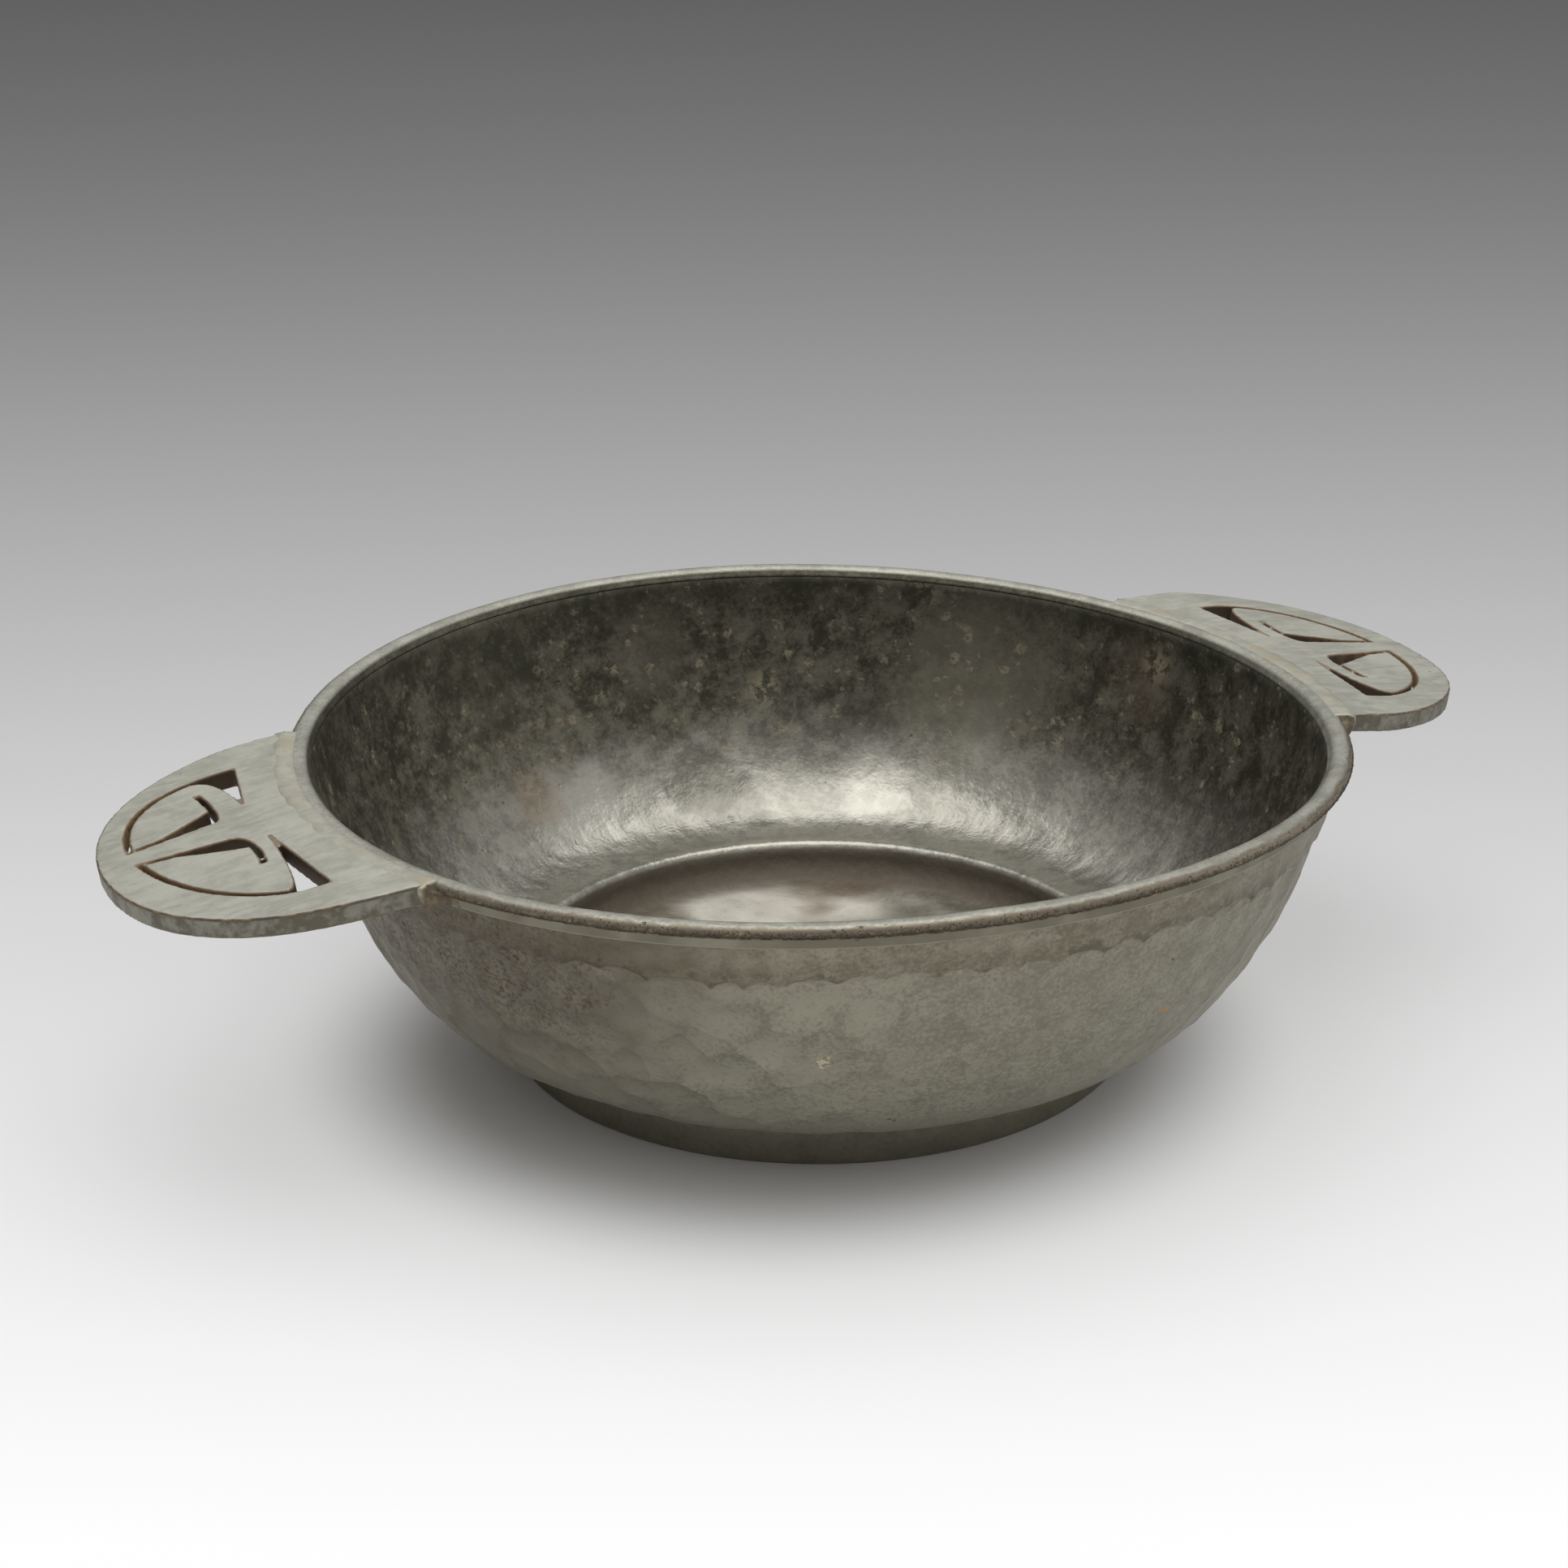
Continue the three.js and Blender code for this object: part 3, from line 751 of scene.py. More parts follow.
def settled(piece, tree=None, values=None):
    """Turns a piece's modifiers, and a node tree where one is given, into a plain mesh."""
    if tree:
        modifier = piece.modifiers.new(tree.name, "NODES")
        modifier.node_group = tree
        for item in tree.interface.items_tree:
            if item.in_out == "INPUT" and item.name in values:
                modifier[item.identifier] = values[item.name]
    graph = bpy.context.evaluated_depsgraph_get()
    mesh = bpy.data.meshes.new_from_object(
        piece.evaluated_get(graph), preserve_all_data_layers=True, depsgraph=graph
    )
    mesh.name = piece.name
    piece.modifiers.clear()
    piece.data = mesh
    return piece


def hand_over(piece, material, slot, *nodes):
    """Gives a piece its finish and lets it stand for solids of the frame."""
    missing = [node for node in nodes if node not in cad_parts]
    if missing:
        raise RuntimeError(f"The frame has no {missing}")
    piece.data.materials.clear()
    piece.data.materials.append(material)
    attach(piece, "root")
    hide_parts(*nodes)


# Node trees for repeated forms


def new_tree(name, inputs):
    """A geometry tree with a geometry input and output and further named inputs."""
    tree = bpy.data.node_groups.new(name, "GeometryNodeTree")
    tree.interface.new_socket("Geometry", in_out="OUTPUT", socket_type="NodeSocketGeometry")
    tree.interface.new_socket("Geometry", in_out="INPUT", socket_type="NodeSocketGeometry")
    for label, kind in inputs.items():
        tree.interface.new_socket(label, in_out="INPUT", socket_type=kind)
    nodes = Nodes(tree)
    return tree, nodes, nodes.add("NodeGroupInput")


def end_tree(nodes, given, geometry):
    """Ends a tree in real geometry with its material."""
    whole = nodes.add("GeometryNodeRealizeInstances", None, {0: geometry})
    values = {"Geometry": whole, "Material": given.also("Material")}
    dressed = nodes.add("GeometryNodeSetMaterial", None, values)
    nodes.add("NodeGroupOutput", None, {0: dressed})


def hammer_tree():
    """Shallow overlapping planishing marks, pressed in along the surface's normal."""
    tree, nodes, given = new_tree(
        "planishing",
        {"Mark size": "NodeSocketFloat", "Mark depth": "NodeSocketFloat", "Material": "NodeSocketMaterial"},
    )
    place = nodes.add("GeometryNodeInputPosition")
    normal = nodes.add("GeometryNodeInputNormal")
    beat = nodes.add("GeometryNodeInputNamedAttribute", {"data_type": "FLOAT"}, {"Name": "beat"})
    finer = 1.7  # the second set of marks is smaller by this
    second = 0.35  # and shallower by this
    steep = 1.6  # how fast a mark rises to its edge
    middle = 0.95  # level of both sets that leaves the tone as it is
    cell = nodes.cells(place, 1.0 / given.also("Mark size"), 0.15)
    elsewhere = nodes.vector("ADD", place, (0.31, 0.17, 0.23))
    fine = nodes.cells(elsewhere, finer / given.also("Mark size"), 0.2)
    broad = 1 - nodes.maths("MINIMUM", cell * cell * steep, 1.0)
    small = 1 - nodes.maths("MINIMUM", fine * fine * steep, 1.0)
    dish = broad + small * second
    depth = dish * beat * given.also("Mark depth") * -1.0
    push = nodes.add("ShaderNodeVectorMath", {"operation": "SCALE"}, {0: normal, "Scale": depth})
    toned = nodes.add(
        "GeometryNodeStoreNamedAttribute",
        {"data_type": "FLOAT", "domain": "POINT"},
        {"Geometry": given, "Name": "hollow", "Value": 0.5 + (dish - middle) * beat},
    )
    moved = nodes.add("GeometryNodeSetPosition", None, {"Geometry": toned, "Offset": push})
    end_tree(nodes, given, moved)
    return tree


def crust_tree():
    """Grains of dirt scattered where the surface carries the mark of its lower side."""
    tree, nodes, given = new_tree(
        "crust",
        {
            "Grain size": "NodeSocketFloat",
            "Density": "NodeSocketFloat",
            "Seed": "NodeSocketInt",
            "Material": "NodeSocketMaterial",
        },
    )
    under = nodes.add("GeometryNodeInputNamedAttribute", {"data_type": "FLOAT"}, {"Name": "under"})
    clean = 0.45  # no dirt where the mark is lower
    dense = nodes.maths("MAXIMUM", under - clean, 0.0) * given.also("Density")
    spots = nodes.add(
        "GeometryNodeDistributePointsOnFaces",
        {"distribute_method": "RANDOM"},
        {"Mesh": given, "Density": dense, "Seed": given.also("Seed")},
    )
    grain = nodes.add(
        "GeometryNodeMeshIcoSphere", None, {"Radius": given.also("Grain size"), "Subdivisions": 1}
    )
    scale = nodes.add(
        "FunctionNodeRandomValue",
        {"data_type": "FLOAT_VECTOR"},
        {0: (0.4, 0.4, 0.3), 1: (1.5, 1.5, 0.8), "Seed": given.also("Seed")},
    )
    grains = nodes.add(
        "GeometryNodeInstanceOnPoints",
        None,
        {"Points": spots, "Instance": grain, "Rotation": spots.also("Rotation"), "Scale": scale},
    )
    real = nodes.add("GeometryNodeRealizeInstances", None, {0: grains})
    tagged = nodes.add(
        "GeometryNodeStoreNamedAttribute",
        {"data_type": "FLOAT", "domain": "POINT"},
        {"Geometry": real, "Name": "under", "Value": 1.0},
    )
    joined = nodes.add("GeometryNodeJoinGeometry", None, {0: given})
    tree.links.new(tagged.socket, joined.socket.node.inputs[0])
    end_tree(nodes, given, joined)
    return tree


# Pieces


def sheet_line():
    """The sheet's outer line: under the well, along the foot's seat and up the wall."""
    s, d = sizes(), derived()
    lip = Vector((d.well_outside + s.well_lip, d.seat - s.well_lip))
    corner = min(s.well_corner, lip.y - s.floor_lift)
    foot = Vector((s.foot_radius, d.seat))
    top = Vector((d.sheet_outside, d.sheet_top))
    lower = foot + s.base_run * Vector((math.cos(s.base_slope), math.sin(s.base_slope)))
    upper = top - s.wall_run * Vector((math.sin(s.wall_lean), math.cos(s.wall_lean)))
    line = [Vector((0.0, s.floor_lift))]
    line += arc((d.well_outside - corner, s.floor_lift + corner), corner, -90, 0, 12)
    line += arc(lip, s.well_lip, 180, 90, 8)
    steps = 90
    for k in range(steps + 1):
        t = k / steps
        r = 1 - t
        line.append(foot * r**3 + lower * (3 * r * r * t) + upper * (3 * r * t * t) + top * t**3)
    return resampled(line, 0.25 * MM)


def softened(line, rounds):
    """Rounds the corners of a line, with its ends kept."""
    for _ in range(rounds):
        inner = [a * 0.25 + b * 0.5 + c * 0.25 for a, b, c in zip(line, line[1:], line[2:])]
        line = [line[0], *inner, line[-1]]
    return line


def graded(line, spacing):
    """Points along a line at a spacing that varies from place to place, both ends kept."""
    dense = resampled(line, 0.05 * MM)
    found = [dense[0]]
    walked = 0.0
    for before, spot in zip(dense, dense[1:]):
        walked += (spot - before).length
        if walked >= spacing(spot):
            found.append(spot)
            walked = 0.0
    found[-1] = dense[-1]
    return found


def sheet_thickness(height):
    """The sheet is thickest over the foot and thins towards the rim and down into the well."""
    s, d = sizes(), derived()
    thin_end = d.sheet_top if height > d.seat else d.seat - s.well_lip
    share = min(max((height - thin_end) / (d.seat - thin_end), 0.0), 1.0)
    return s.wall + (s.base_wall - s.wall) * share**2


def bowl_piece():
    """The beaten sheet, inside and out, with its hammer marks."""
    s, d = sizes(), derived()
    fine = sheet_line()
    normals = line_normals(fine, False)
    offset = [spot - normal * sheet_thickness(spot.y) for spot, normal in zip(fine, normals)]
    offset = [Vector((max(spot.x, 0.0), spot.y)) for spot in offset]
    offset[0].x = 0.0
    offset[-1] = Vector((d.sheet_inside, d.sheet_top))
    corner = 3.3 * MM  # inside radius of the well's bottom corner
    slant = 1.0 * MM  # the wall's foot lies this far in from the lip
    lip_round = 0.7 * MM  # inside radius of the lip
    swell = 0.4 * MM  # rise of the metal round the lip
    floor = s.floor_lift + s.wall
    lip = Vector((d.foot_inside, d.seat + s.base_wall + swell))
    well = [Vector((0.0, floor))]
    well += arc((lip.x - corner - slant, floor + corner), corner, -90, -8, 14)
    well += arc((lip.x, lip.y - lip_round), lip_round, 172, 90, 8)
    upper = [spot for spot in offset if spot.x > lip.x + 0.5 * MM]
    for spot in upper:
        spot.y += swell * math.exp(-(((spot.x - lip.x) / (3 * MM)) ** 2))

    def outer_spacing(spot):
        """Coarse over the foot and fine round the ridge."""
        if spot.x < s.foot_radius:
            return 1.2 * MM
        return 0.35 * MM if abs(spot.y - s.ridge_height) < 2.4 * MM else 0.75 * MM

    def inner_spacing(spot):
        """Coarse on the well's floor and fine up its wall and over its lip."""
        if spot.x < 27 * MM:
            return 1.5 * MM
        return 0.35 * MM if spot.x < 36 * MM else 0.75 * MM

    outside = graded(fine, outer_spacing)
    inside = graded(softened(resampled(well + upper, 0.2 * MM), 2), inner_spacing)
    tuck = 0.35 * MM  # the inside runs this far up into the rim wire
    inside.append(Vector((d.sheet_inside + tuck, d.sheet_top + tuck)))
    line = outside + inside[::-1]
    split = len(outside)

    def beat(index):
        """How much hammering shows at a point of the profile."""
        spot = line[index]
        from_rim = eased((d.sheet_top - spot.y) / (9 * MM))
        if index < split:
            return eased((spot.x - s.foot_radius) / (4 * MM))
        in_well = eased((29 * MM - spot.x) / (4 * MM))
        on_slope = eased((spot.x - 36 * MM) / (5 * MM))
        return max(in_well * 0.15, on_slope * 0.4) * from_rim

    beats = [beat(index) for index in range(len(line))]
    count = round(TURN * s.rim_radius / s.scallop)

    def over_ridge(place):
        """Height over the scalloped edge where the hammer marks start."""
        bearing = math.atan2(place[1], place[0])
        ring = (s.rim_radius * math.cos(bearing), s.rim_radius * math.sin(bearing), 0.0)
        walked = bearing / TURN * count + 0.8 * uneven(ring, 10 * MM, 2)
        phase = 2 * (walked - math.floor(walked)) - 1
        arch = 1 - math.sqrt(1 - 0.96 * phase * phase)
        edge = s.ridge_height + 0.7 * MM * uneven(ring, 13 * MM, 14) - 1.3 * MM * arch
        return place[2] - edge

    def hammered(place):
        """0 over that edge, and below it most towards the handles, where the marks were left rough."""
        rough = 0.5 + 0.8 * eased((abs(place[0]) - 2 * MM) / (34 * MM))
        return rough * eased(0.5 - over_ridge(place) / (1.1 * MM))

    def press(index, place):
        amount = beats[index] * (0.5 + 0.5 * uneven(place, 24 * MM, 1)) * 0.2 * MM
        if index < split:
            amount = (amount + 0.14 * MM) * hammered(place)
        return amount

    marks = {
        "inside": lambda index, place: float(index >= split),
        "beat": lambda index, place: beats[index] * (hammered(place) if index < split else 1.0),
        "over": lambda index, place: 0.5 + over_ridge(place) / (6 * MM) if index < split else 0.0,
        # Share near the well's lip, where a painted highlight is laid
        "lip": lambda index, place: (
            math.exp(-(((line[index] - lip).length / (0.9 * MM)) ** 2)) if index >= split else 0.0
        ),
    }
    piece = turned_piece("beaten_bowl", line, press, marks, steps=s.turn_steps, loop=False)
    finish = sheet_finish()
    settled(
        piece,
        hammer_tree(),
        {"Mark size": s.mark_size, "Mark depth": s.mark_depth, "Material": finish},
    )
    hand_over(piece, finish, "beaten_sheet", "bowl_shell")


def wire_piece():
    """The half-round rim wire, worn uneven, with dirt along its lower side."""
    s, d = sizes(), derived()
    across, rise = s.bead_width / 2, s.bead_height
    middle = s.rim_radius - across
    steps = 26
    turns = [math.pi * k / steps for k in range(steps + 1)]
    line = []
    for t in turns:
        square = 0.76 if t < math.pi / 2 else 1.0  # the outer shoulder is fuller than half-round
        out = math.copysign(abs(math.cos(t)) ** square, math.cos(t))
        line.append(Vector((middle + across * out, d.bead_foot + rise * abs(math.sin(t)) ** square)))
    line += [Vector((middle, d.bead_foot)), Vector((middle + across * 0.6, d.bead_foot))]
    under = [max(1 - t / (math.pi / 2), 0.0) for t in turns] + [0.0, 1.0]
    # Share of the inner face, on which painted shade is laid at the far side
    inner = [eased((d.bead_foot + rise - spot.y) / (0.85 * MM)) for spot in line]
    inner = [level if steps / 2 < index <= steps else 0.0 for index, level in enumerate(inner)]

    def press(index, place):
        if index > steps:
            return 0.0
        worn = 0.085 + 0.05 * (1 + uneven(place, 9 * MM, 3)) + 0.02 * (1 + uneven(place, 2.2 * MM, 4))
        worn *= eased((steps - index) / 4)
        return (worn + under[index] * 0.06 * (1 + uneven(place, 0.9 * MM, 5))) * MM

    piece = turned_piece("rim_wire", line, press, {"under": under, "inner": inner}, steps=900)
    finish = wire_finish()
    density = 2.2e7  # grains to the square metre, before the mark thins them out
    settled(
        piece,
        crust_tree(),
        {"Grain size": s.grain_size, "Density": density, "Seed": 11, "Material": finish},
    )
    hand_over(piece, finish, "rim_wire", "rim_bead")


def strip_piece():
    """The flat strip under the wire, with a soft lower arris."""
    s, d = sizes(), derived()
    lean = math.tan(s.wall_lean)
    top = d.sheet_outside + s.fit - (d.sheet_top - d.band_top) * lean
    foot = top - s.band_height * lean
    low, high, thick = d.band_top - s.band_height, d.band_top, s.band_thickness
    corners = [
        Vector((foot, low)),
        Vector((foot + thick, low)),
        Vector((top + thick, high)),
        Vector((top, high)),
        Vector((foot, low)),
    ]
    line = softened(resampled(corners, 0.09 * MM), 2)[:-1]
    face = foot + thick * 0.4
    arris = 0.34 * MM  # height of the worn lower edge
    edge = [eased(1 - (spot.y - low) / arris) if spot.x > face else 0.0 for spot in line]

    def press(index, place):
        return 0.02 * MM * (1 + uneven(place, 5 * MM, 6)) * (line[index].x > foot + thick * 0.5)

    piece = turned_piece("rim_strip", line, press, {"edge": edge}, steps=480)
    hand_over(piece, strip_finish(), "rim_strip", "rim_band")


def rim_seam_piece():
    """The ragged solder between the wire and the strip."""
    s, d = sizes(), derived()
    inner = d.sheet_outside + s.fit
    outer = inner + s.seam_width
    low, high = d.band_top + s.fit, d.bead_foot - s.fit
    corners = [(inner, low), (outer, low), (outer, high), (inner, high), (inner, low)]
    line = resampled(corners, 0.1 * MM)[:-1]

    def press(index, place):
        return 0.12 * MM * (1 + uneven(place, 1.4 * MM, 7)) * (line[index].x > outer - 0.05 * MM)

    piece = turned_piece("rim_seam", line, press, {}, steps=600)
    hand_over(piece, crust_finish(), "rim_seam", "rim_solder")


def foot_pieces():
    """The foot ring and the solder inside it."""
    s, d = sizes(), derived()
    edge, inner, outer = s.foot_edge, d.foot_inside, s.foot_radius
    line = [Vector((inner + edge + k / 3 * (outer - inner - 2 * edge), 0.0)) for k in range(3)]
    line += arc((outer - edge, edge), edge, -90, 0, 5)
    line += [Vector((outer, edge + (s.foot_height - edge) * k / 14)) for k in range(1, 15)]
    line += [Vector((outer - 0.5 * MM, s.foot_height)), Vector((inner + 0.3 * MM, s.foot_height))]
    line += [Vector((inner, s.foot_height - (s.foot_height - edge) * k / 8)) for k in range(8)]
    line += arc((inner + edge, edge), edge, 180, 270, 4)[:-1]
    worn = [eased(1 - (spot.y - 0.12 * MM) / (0.4 * MM)) for spot in line]

    def press(index, place):
        if place[2] < 1e-6 or place[2] > s.foot_height - 1e-6:
            return 0.0
        return 0.07 * MM * (1 + uneven(place, 7 * MM, 8)) + 0.03 * MM * (1 + uneven(place, 2.5 * MM, 9))

    ring = turned_piece("foot_strip", line, press, {"worn": worn}, steps=420, beaten=False)
    hand_over(ring, foot_finish(), "foot_strip", "foot_ring")

    out, top, leg = inner - s.fit, s.foot_height - s.fit, s.foot_fillet
    shares = ((0.0, 0.0), (1.0, 0.2), (0.8, 0.5), (0.45, 1.0), (0.15, 1.5), (0.0, 2.0))
    fillet = [Vector((out - leg * wide, top - leg * deep)) for wide, deep in shares]

    def ragged(index, place):
        return 0.1 * MM * (1 + uneven(place, 2.5 * MM, 10)) if 0 < index < len(shares) - 1 else 0.0

    seam = turned_piece("foot_seam", fillet, ragged, {}, steps=360, beaten=False)
    hand_over(seam, foot_seam_finish(), "foot_seam", "foot_solder")


def plate_place(droop, twist, bearing):
    """Places a level plate at the rim, tilted and turned to its side."""
    d = derived()
    tilt = Matrix.Rotation(droop, 4, "Y") @ Matrix.Rotation(twist, 4, "X")
    hinge = Matrix.Translation((d.hinge_radius, 0.0, d.hinge_height))
    return Matrix.Rotation(bearing, 4, "Z") @ hinge @ tilt


def plate_top(place, x, y):
    """Height of a tilted plate's top over a point."""
    up = place.to_3x3() @ Vector((0.0, 0.0, 1.0))
    foot = place.translation
    return foot.z - (up.x * (x - foot.x) + up.y * (y - foot.y)) / up.z


def rim_crest(bearing):
    """Height of the rim wire's worn top."""
    worn = 0.12 * MM
    return dipped(sizes().rim_height, bearing) - worn


def root_rise(place, x, y):
    """How far a plate is bent up at a point to lie level with the rim at its root."""
    s, d = sizes(), derived()
    bearing = math.atan2(y, x)
    root = Vector((math.cos(bearing), math.sin(bearing))) * d.root_radius
    rise = rim_crest(bearing) - plate_top(place, root.x, root.y)
    return rise * eased(1 - (math.hypot(x, y) - d.root_radius) / s.root_bend)


def edge_trees(work):
    """Search trees of points along a plate's sharp edges: its outline, and its sawn cuts."""
    bend, spacing = math.radians(40), 0.2 * MM
    sharp = {edge for edge in work.edges if edge.calc_face_angle(0.0) > bend}
    groups = []
    while sharp:
        group, ahead = [], [sharp.pop()]
        while ahead:
            edge = ahead.pop()
            group.append(edge)
            near = {other for vert in edge.verts for other in vert.link_edges} & sharp
            sharp -= near
            ahead.extend(near)
        groups.append(group)
    groups.sort(key=lambda group: -max(vert.co.x for edge in group for vert in edge.verts))
    found = []
    for chosen in (groups[:1], groups[1:]):
        places = []
        for edge in (edge for group in chosen for edge in group):
            a, b = (vert.co for vert in edge.verts)
            count = max(int((b - a).length / spacing), 1)
            places += [a.lerp(b, k / count) for k in range(count + 1)]
        tree = kdtree.KDTree(len(places))
        for index, place in enumerate(places):
            tree.insert(place, index)
        tree.balance()
        found.append(tree)
    return found


def plate_piece(name, node, place):
    """A pierced plate with worn edges, bent at its root to lie level with the rim."""
    s = sizes()
    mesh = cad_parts[node].data.copy()
    mesh.transform(place.inverted())
    work = bmesh.new()
    work.from_mesh(mesh)
    bmesh.ops.remove_doubles(work, verts=work.verts, dist=0.001 * MM)
    outline, cuts = edge_trees(work)
    work.to_mesh(mesh)
    work.free()
    plate = bpy.data.objects.new(name, mesh)
    bpy.context.collection.objects.link(plate)
    remesh = plate.modifiers.new("fine", "REMESH")
    remesh.mode = "VOXEL"
    remesh.voxel_size = s.voxel
    smooth = plate.modifiers.new("worn", "SMOOTH")
    smooth.iterations = 5
    settled(plate)
    mesh = plate.data
    rubbed = 0.36 * MM  # width of the wear along an edge
    between = 0.6 * MM  # where the outline's side gives way to the cuts'
    wave = 0.05 * MM  # unevenness of the plate
    edge, side, slot, outs, spots = [], [], [], [], []
    for vert in mesh.vertices:
        to_outline = outline.find(vert.co)[2]
        to_cut = cuts.find(vert.co)[2]
        edge.append(math.exp(-((min(to_outline, to_cut) / rubbed) ** 2)))
        side.append(1 - abs(vert.normal.z))
        slot.append(eased((to_outline - to_cut) / between + 0.5))
        spot = vert.co + Vector((0.0, 0.0, wave * uneven(vert.co, 8 * MM, 12)))
        spot = place @ spot
        outs.append(math.hypot(spot.x, spot.y))
        spot.z += root_rise(place, spot.x, spot.y)
        spots.append(spot)
    for vert, spot in zip(mesh.vertices, spots):
        vert.co = spot
    for mark, values in (("edge", edge), ("side", side), ("slot", slot), ("out", outs)):
        mesh.attributes.new(mark, "FLOAT", "POINT").data.foreach_set("value", values)
    mesh.shade_smooth()
    mesh.update()
    return plate


def handles():
    """Name, node and place of each handle."""
    s = sizes()
    return (
        ("right", "right_handle", plate_place(s.right_droop, s.right_twist, 0.0)),
        ("left", "left_handle", plate_place(s.left_droop, 0.0, math.pi)),
    )


def plate_pieces():
    """Both handle plates."""
    finish = plate_finish()
    for name, node, place in handles():
        hand_over(plate_piece(name + "_plate", node, place), finish, "handle_plate", node)


def seam_section(place, ray, past, crest):
    """Radii and heights round the solder, where past grows from 0 at the plate's corner to 1 at the end."""
    s, d = sizes(), derived()
    sunk = eased(past * 5)  # the solder drops soon after the corner, and tapers from there
    level = crest - 0.75 * MM * sunk - 0.3 * MM * past
    low = crest - s.plate_thickness - 0.25 * MM + past * 0.45 * MM
    out = s.rim_radius + 1.4 * MM - 0.6 * MM * sunk - 1.8 * MM * past
    foot = out - 0.3 * MM * past
    start = d.sheet_outside + 0.2 * MM + 0.8 * MM * sunk
    inner = d.sheet_outside - 0.65 * MM
    deep, broad = level - low, foot - inner
    section = []
    for j in range(9):
        t = j / 8
        dome = (0.03 - 0.12 * abs(2 * t - 1) ** 4) * MM * (1 - past)
        reach = start + (out - start) * t
        over = ray * max(reach, d.root_radius)
        fall = plate_top(place, over.x, over.y) + root_rise(place, over.x, over.y) - crest
        section.append((reach, level + dome + fall * (1 - past)))
    section += [(out + 0.05 * MM, level - 0.25 * deep), (foot, level - 0.5 * deep)]
    for share, lift in ((0.85, 0.0), (0.5, -0.1), (0.2, -0.2), (0.0, 0.3), (0.2, 0.7)):
        section.append((inner + share * broad, low + lift * deep))
    return section


def seam_piece(name, place, bearing):
    """Solder from the rim wire's crest over to a plate, with a fillet past each of its corners."""
    s, d = sizes(), derived()
    overrun = 3.2 * MM  # solder past each corner of the plate
    corner = math.asin(s.plate_half_width / d.root_radius)
    span = corner + overrun / d.root_radius
    steps = 220
    points, faces, ends = [], [], []
    for k in range(steps + 1):
        swing = (2 * k / steps - 1) * span
        turn = bearing + swing
        past = max((abs(swing) - corner) / (span - corner), 0.0)
        ray = Vector((math.cos(turn), math.sin(turn), 0.0))
        crest = rim_crest(turn)
        section = seam_section(place, ray, past, crest)
        for radius, height in section:
            spot = ray * radius + Vector((0.0, 0.0, height))
            rough = (0.035 + 0.05 * past) * MM * uneven(spot, 1.8 * MM, 13)
            points.append(spot + Vector((0.0, 0.0, rough)) + ray * rough)
            ends.append(max(eased(past * 14), eased((crest - 0.9 * MM - height) / (0.5 * MM))))
    size = len(section)
    for k in range(steps):
        for j in range(size):
            a, b = k * size + j, k * size + (j + 1) % size
            faces.append((a, a + size, b + size, b))
    faces.append(tuple(range(size)))
    faces.append(tuple(steps * size + j for j in reversed(range(size))))
    piece = new_piece(name, points, faces, {"ends": ends})
    work = bmesh.new()
    work.from_mesh(piece.data)
    bmesh.ops.recalc_face_normals(work, faces=work.faces)
    work.to_mesh(piece.data)
    work.free()
    return piece


def seam_pieces():
    """The solder at both handles."""
    finish = solder_finish()
    for (name, node, place), bearing in zip(handles(), (0.0, math.pi)):
        hand_over(seam_piece(name + "_seam", place, bearing), finish, "handle_seam", node + "_solder")


# Studio


def floor_finish():
    """Pale floor that falls away to grey behind the bowl."""
    f = Finish("studio_floor")
    studio = bpy.context.scene.bowl_studio
    view = Vector(studio.camera_aim) - Vector(studio.camera_place)
    view.z = 0.0
    view.normalize()
    behind = f.vector("DOT_PRODUCT", f.at, tuple(view), "Value")
    near, span, power = -0.762, 0.695, 4.52  # start and scale of the fall along the view, and its power
    grey, gain = 0.12, 1.595  # level far behind, and what is added to it in front
    fall = f.maths("MAXIMUM", (behind - near) / span, 0.0) ** power
    shade = f.maths("MINIMUM", grey + gain / (1 + fall), 1.0)
    # Painted contact shadow: the floor has a glow of its own only away from the bowl
    middle = (-4.5 * MM, -1 * MM, 0.0)  # of the ground under the bowl, which has no glow of its own
    away = f.vector("DISTANCE", f.at, middle, "Value")
    glow = shade * f.ease(away, 37 * MM, 58 * MM) * studio.floor_glow
    lit = shade - glow
    values = {
        "Base Color": f.add("ShaderNodeCombineColor", None, {0: lit, 1: lit, 2: lit}),
        "Emission Color": f.add("ShaderNodeCombineColor", None, {0: glow, 1: glow, 2: glow}),
        "Emission Strength": 1.0,
        "Roughness": 1.0,
        "Specular IOR Level": 0.0,
    }
    shader = f.add("ShaderNodeBsdfPrincipled", None, values)
    f.add("ShaderNodeOutputMaterial", None, {"Surface": shader})
    return f.material


def studio_sky():
    """Light from above that dims towards the horizon. The camera itself sees one even level."""
    studio = bpy.context.scene.bowl_studio
    world = bpy.data.worlds.new("studio_sky")
    world.use_nodes = True
    world.node_tree.nodes.clear()
    nodes = Nodes(world.node_tree)
    way = nodes.add("ShaderNodeTexCoord", output="Generated")
    rise = nodes.add("ShaderNodeSeparateXYZ", None, {0: way}, "Z")
    values = {"Value": rise, "From Min": 0.15, "From Max": 0.8}
    values |= {"To Min": studio.horizon, "To Max": studio.sky}
    level = nodes.add("ShaderNodeMapRange", {"interpolation_type": "SMOOTHSTEP"}, values)
    seen = nodes.add("ShaderNodeLightPath", output="Is Camera Ray")
    level = level + seen * (studio.sky - level)
    light = nodes.add("ShaderNodeBackground", None, {"Color": (1.0, 1.0, 1.0, 1.0), "Strength": level})
    nodes.add("ShaderNodeOutputWorld", None, {"Surface": light})
    return world


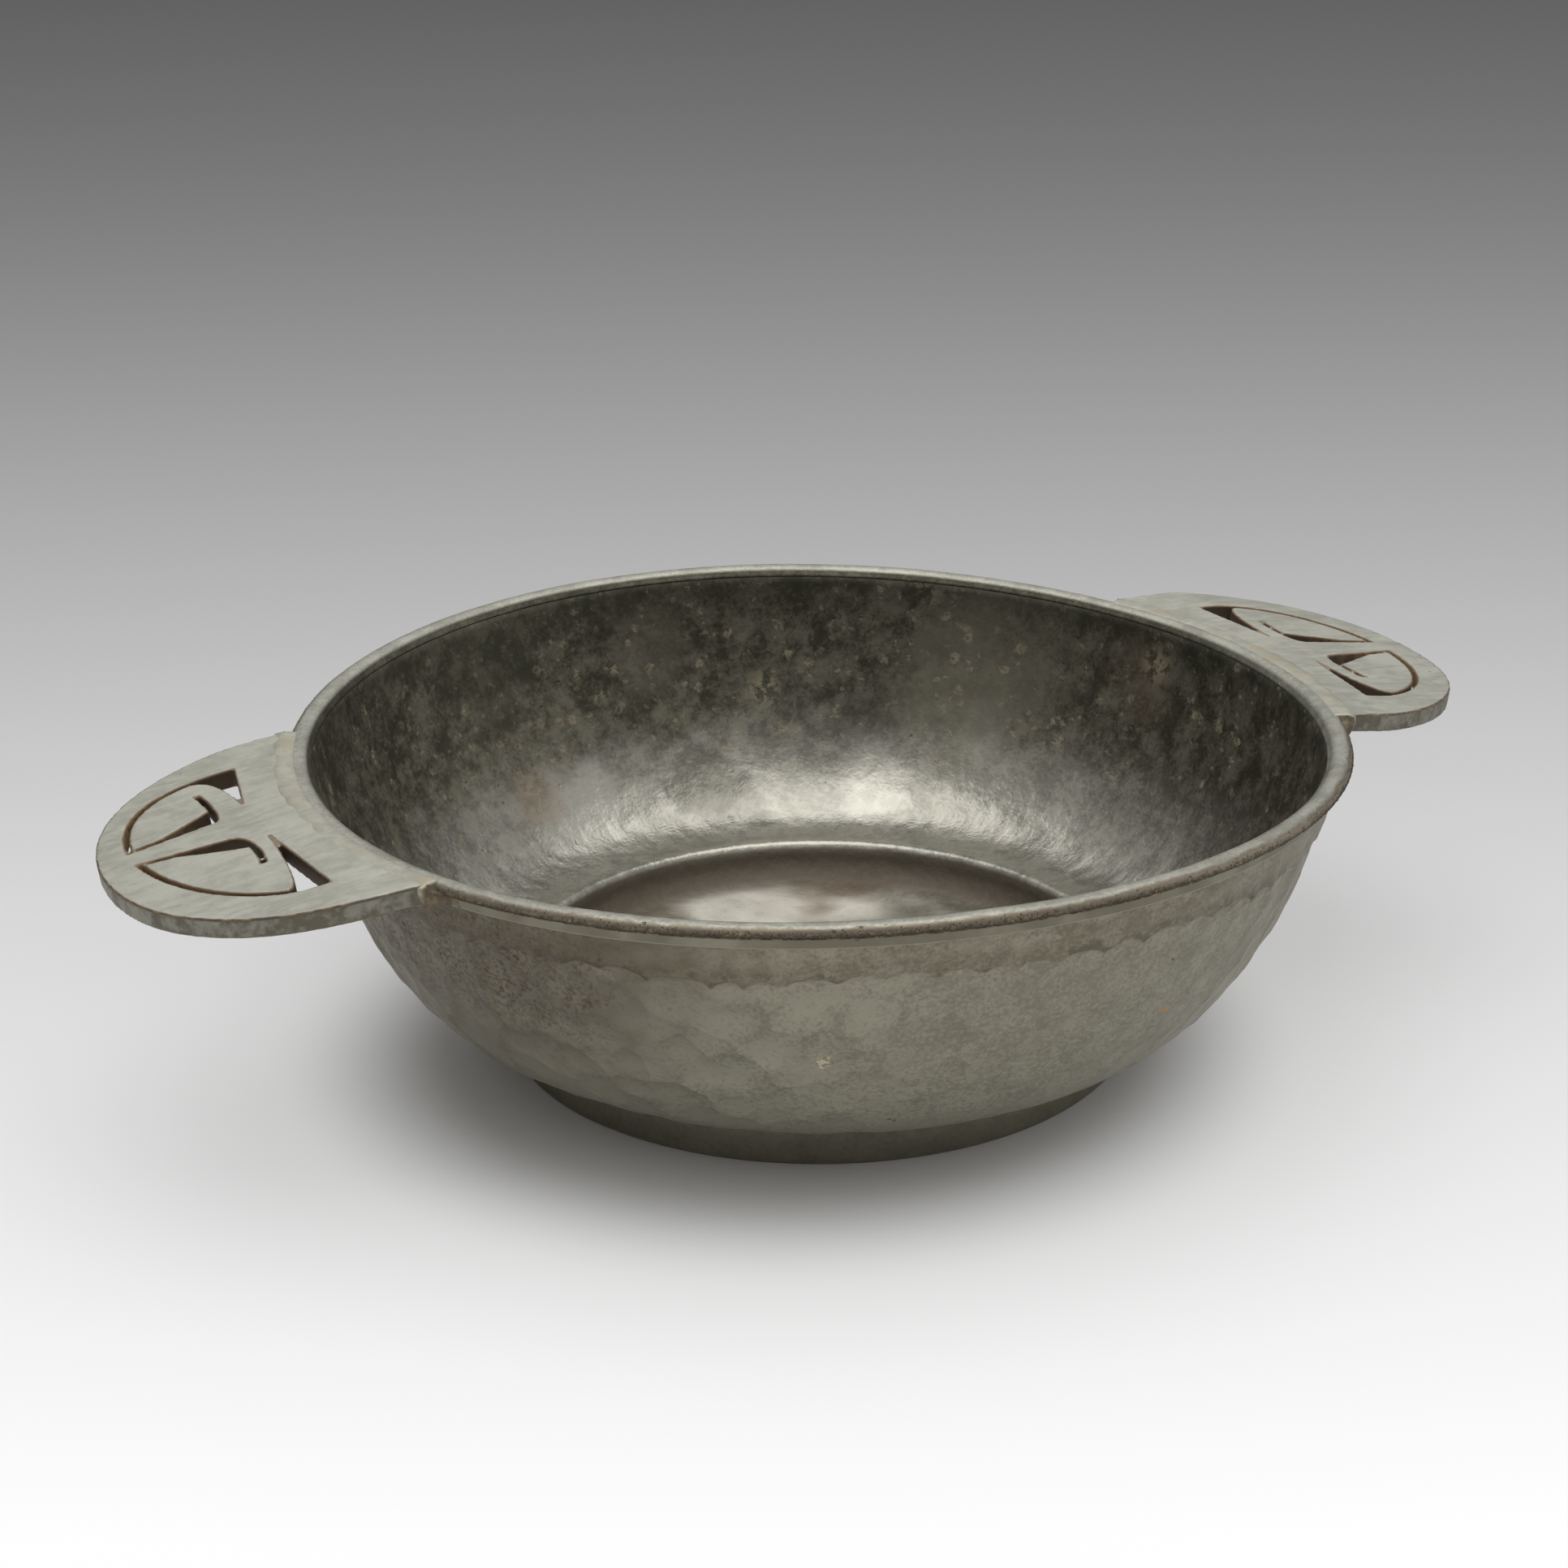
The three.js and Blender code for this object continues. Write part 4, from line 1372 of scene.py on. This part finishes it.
def soft_light(name, watts, width, depth, place, aim):
    """A rectangular softbox."""
    lamp = bpy.data.lights.new(name, "AREA")
    lamp.energy = watts
    lamp.shape = "RECTANGLE"
    lamp.size, lamp.size_y = width, depth
    light = bpy.data.objects.new(name, lamp)
    light.location = place
    light.rotation_mode = "QUATERNION"
    light.rotation_quaternion = (Vector(aim) - Vector(place)).to_track_quat("-Z", "Y")
    bpy.context.collection.objects.link(light)


def studio_stage():
    """Floor, lights, world and camera."""
    scene = bpy.context.scene
    studio = scene.bowl_studio
    scene.view_settings.view_transform = "Standard"
    half = 4.0
    corners = [(-half, -half), (half, -half), (half, half), (-half, half)]
    floor = new_piece("studio_floor", [(x, y, -0.02 * MM) for x, y in corners], [(0, 1, 2, 3)], {})
    floor.data.materials.append(floor_finish())
    soft_light("top_softbox", studio.top_light, 0.8, 0.8, (0.03, 0.05, 0.85), (0.0, 0.0, 0.0))
    soft_light("back_softbox", studio.back_light, 0.9, 0.4, (0.4, 0.8, 0.5), (0.0, 0.0, 0.03))
    soft_light("side_softbox", studio.side_light, 1.0, 0.6, (1.0, -0.35, 0.32), (0.0, 0.0, 0.02))
    scene.world = studio_sky()
    lens = bpy.data.cameras.new("studio_camera")
    lens.lens = studio.lens
    lens.clip_start, lens.clip_end = 0.01, 20.0
    camera = bpy.data.objects.new("studio_camera", lens)
    aim = Vector(studio.camera_aim) - Vector(studio.camera_place)
    camera.location = studio.camera_place
    camera.rotation_mode = "QUATERNION"
    roll = Quaternion((0.0, 0.0, 1.0), studio.camera_roll)
    camera.rotation_quaternion = aim.to_track_quat("-Z", "Y") @ roll
    bpy.context.collection.objects.link(camera)
    scene.camera = camera


# Operators and panel


class BuildSheet(bpy.types.Operator):
    """Build the beaten sheet of the bowl"""

    bl_idname = "bowl.build_sheet"
    bl_label = "Build the beaten sheet"
    bl_options = {"REGISTER", "UNDO"}

    def execute(self, context):
        bowl_piece()
        return {"FINISHED"}


class BuildRim(bpy.types.Operator):
    """Build the rim wire, the strip under it and the solder between them"""

    bl_idname = "bowl.build_rim"
    bl_label = "Build the rim"
    bl_options = {"REGISTER", "UNDO"}

    def execute(self, context):
        wire_piece()
        strip_piece()
        rim_seam_piece()
        return {"FINISHED"}


class BuildFoot(bpy.types.Operator):
    """Build the foot ring and its solder"""

    bl_idname = "bowl.build_foot"
    bl_label = "Build the foot"
    bl_options = {"REGISTER", "UNDO"}

    def execute(self, context):
        foot_pieces()
        return {"FINISHED"}


class BuildHandles(bpy.types.Operator):
    """Build both pierced handle plates and the solder that holds them"""

    bl_idname = "bowl.build_handles"
    bl_label = "Build the handles"
    bl_options = {"REGISTER", "UNDO"}

    def execute(self, context):
        plate_pieces()
        seam_pieces()
        return {"FINISHED"}


class BuildStudio(bpy.types.Operator):
    """Build the floor, lights and camera"""

    bl_idname = "bowl.build_studio"
    bl_label = "Build the studio"
    bl_options = {"REGISTER", "UNDO"}

    def execute(self, context):
        studio_stage()
        return {"FINISHED"}


GROUPS = {"bowl_sizes": BowlSizes, "bowl_colours": BowlColours, "bowl_studio": BowlStudio}
OPERATORS = (BuildSheet, BuildRim, BuildFoot, BuildHandles, BuildStudio)


class BowlPanel(bpy.types.Panel):
    """Sizes, colours and operators of the bowl"""

    bl_idname = "VIEW3D_PT_pewter_bowl"
    bl_label = "Pewter bowl"
    bl_space_type = "VIEW_3D"
    bl_region_type = "UI"
    bl_category = "Bowl"

    def draw(self, context):
        for operator in OPERATORS:
            self.layout.operator(operator.bl_idname)
        for group, kind in GROUPS.items():
            column = self.layout.column(heading=kind.__doc__)
            for name in kind.__annotations__:
                column.prop(getattr(context.scene, group), name)


CLASSES = (*GROUPS.values(), *OPERATORS, BowlPanel)


def register():
    for kind in CLASSES:
        bpy.utils.register_class(kind)
    for group, kind in GROUPS.items():
        setattr(bpy.types.Scene, group, PointerProperty(type=kind))


def unregister():
    for group in GROUPS:
        delattr(bpy.types.Scene, group)
    for kind in reversed(CLASSES):
        bpy.utils.unregister_class(kind)


def main():
    """Registers the add-on, builds every piece and the studio, and notes the sizes."""
    register()
    bpy.ops.bowl.build_sheet()
    bpy.ops.bowl.build_rim()
    bpy.ops.bowl.build_foot()
    bpy.ops.bowl.build_handles()
    bpy.ops.bowl.build_studio()


if __name__ == "__main__":
    main()
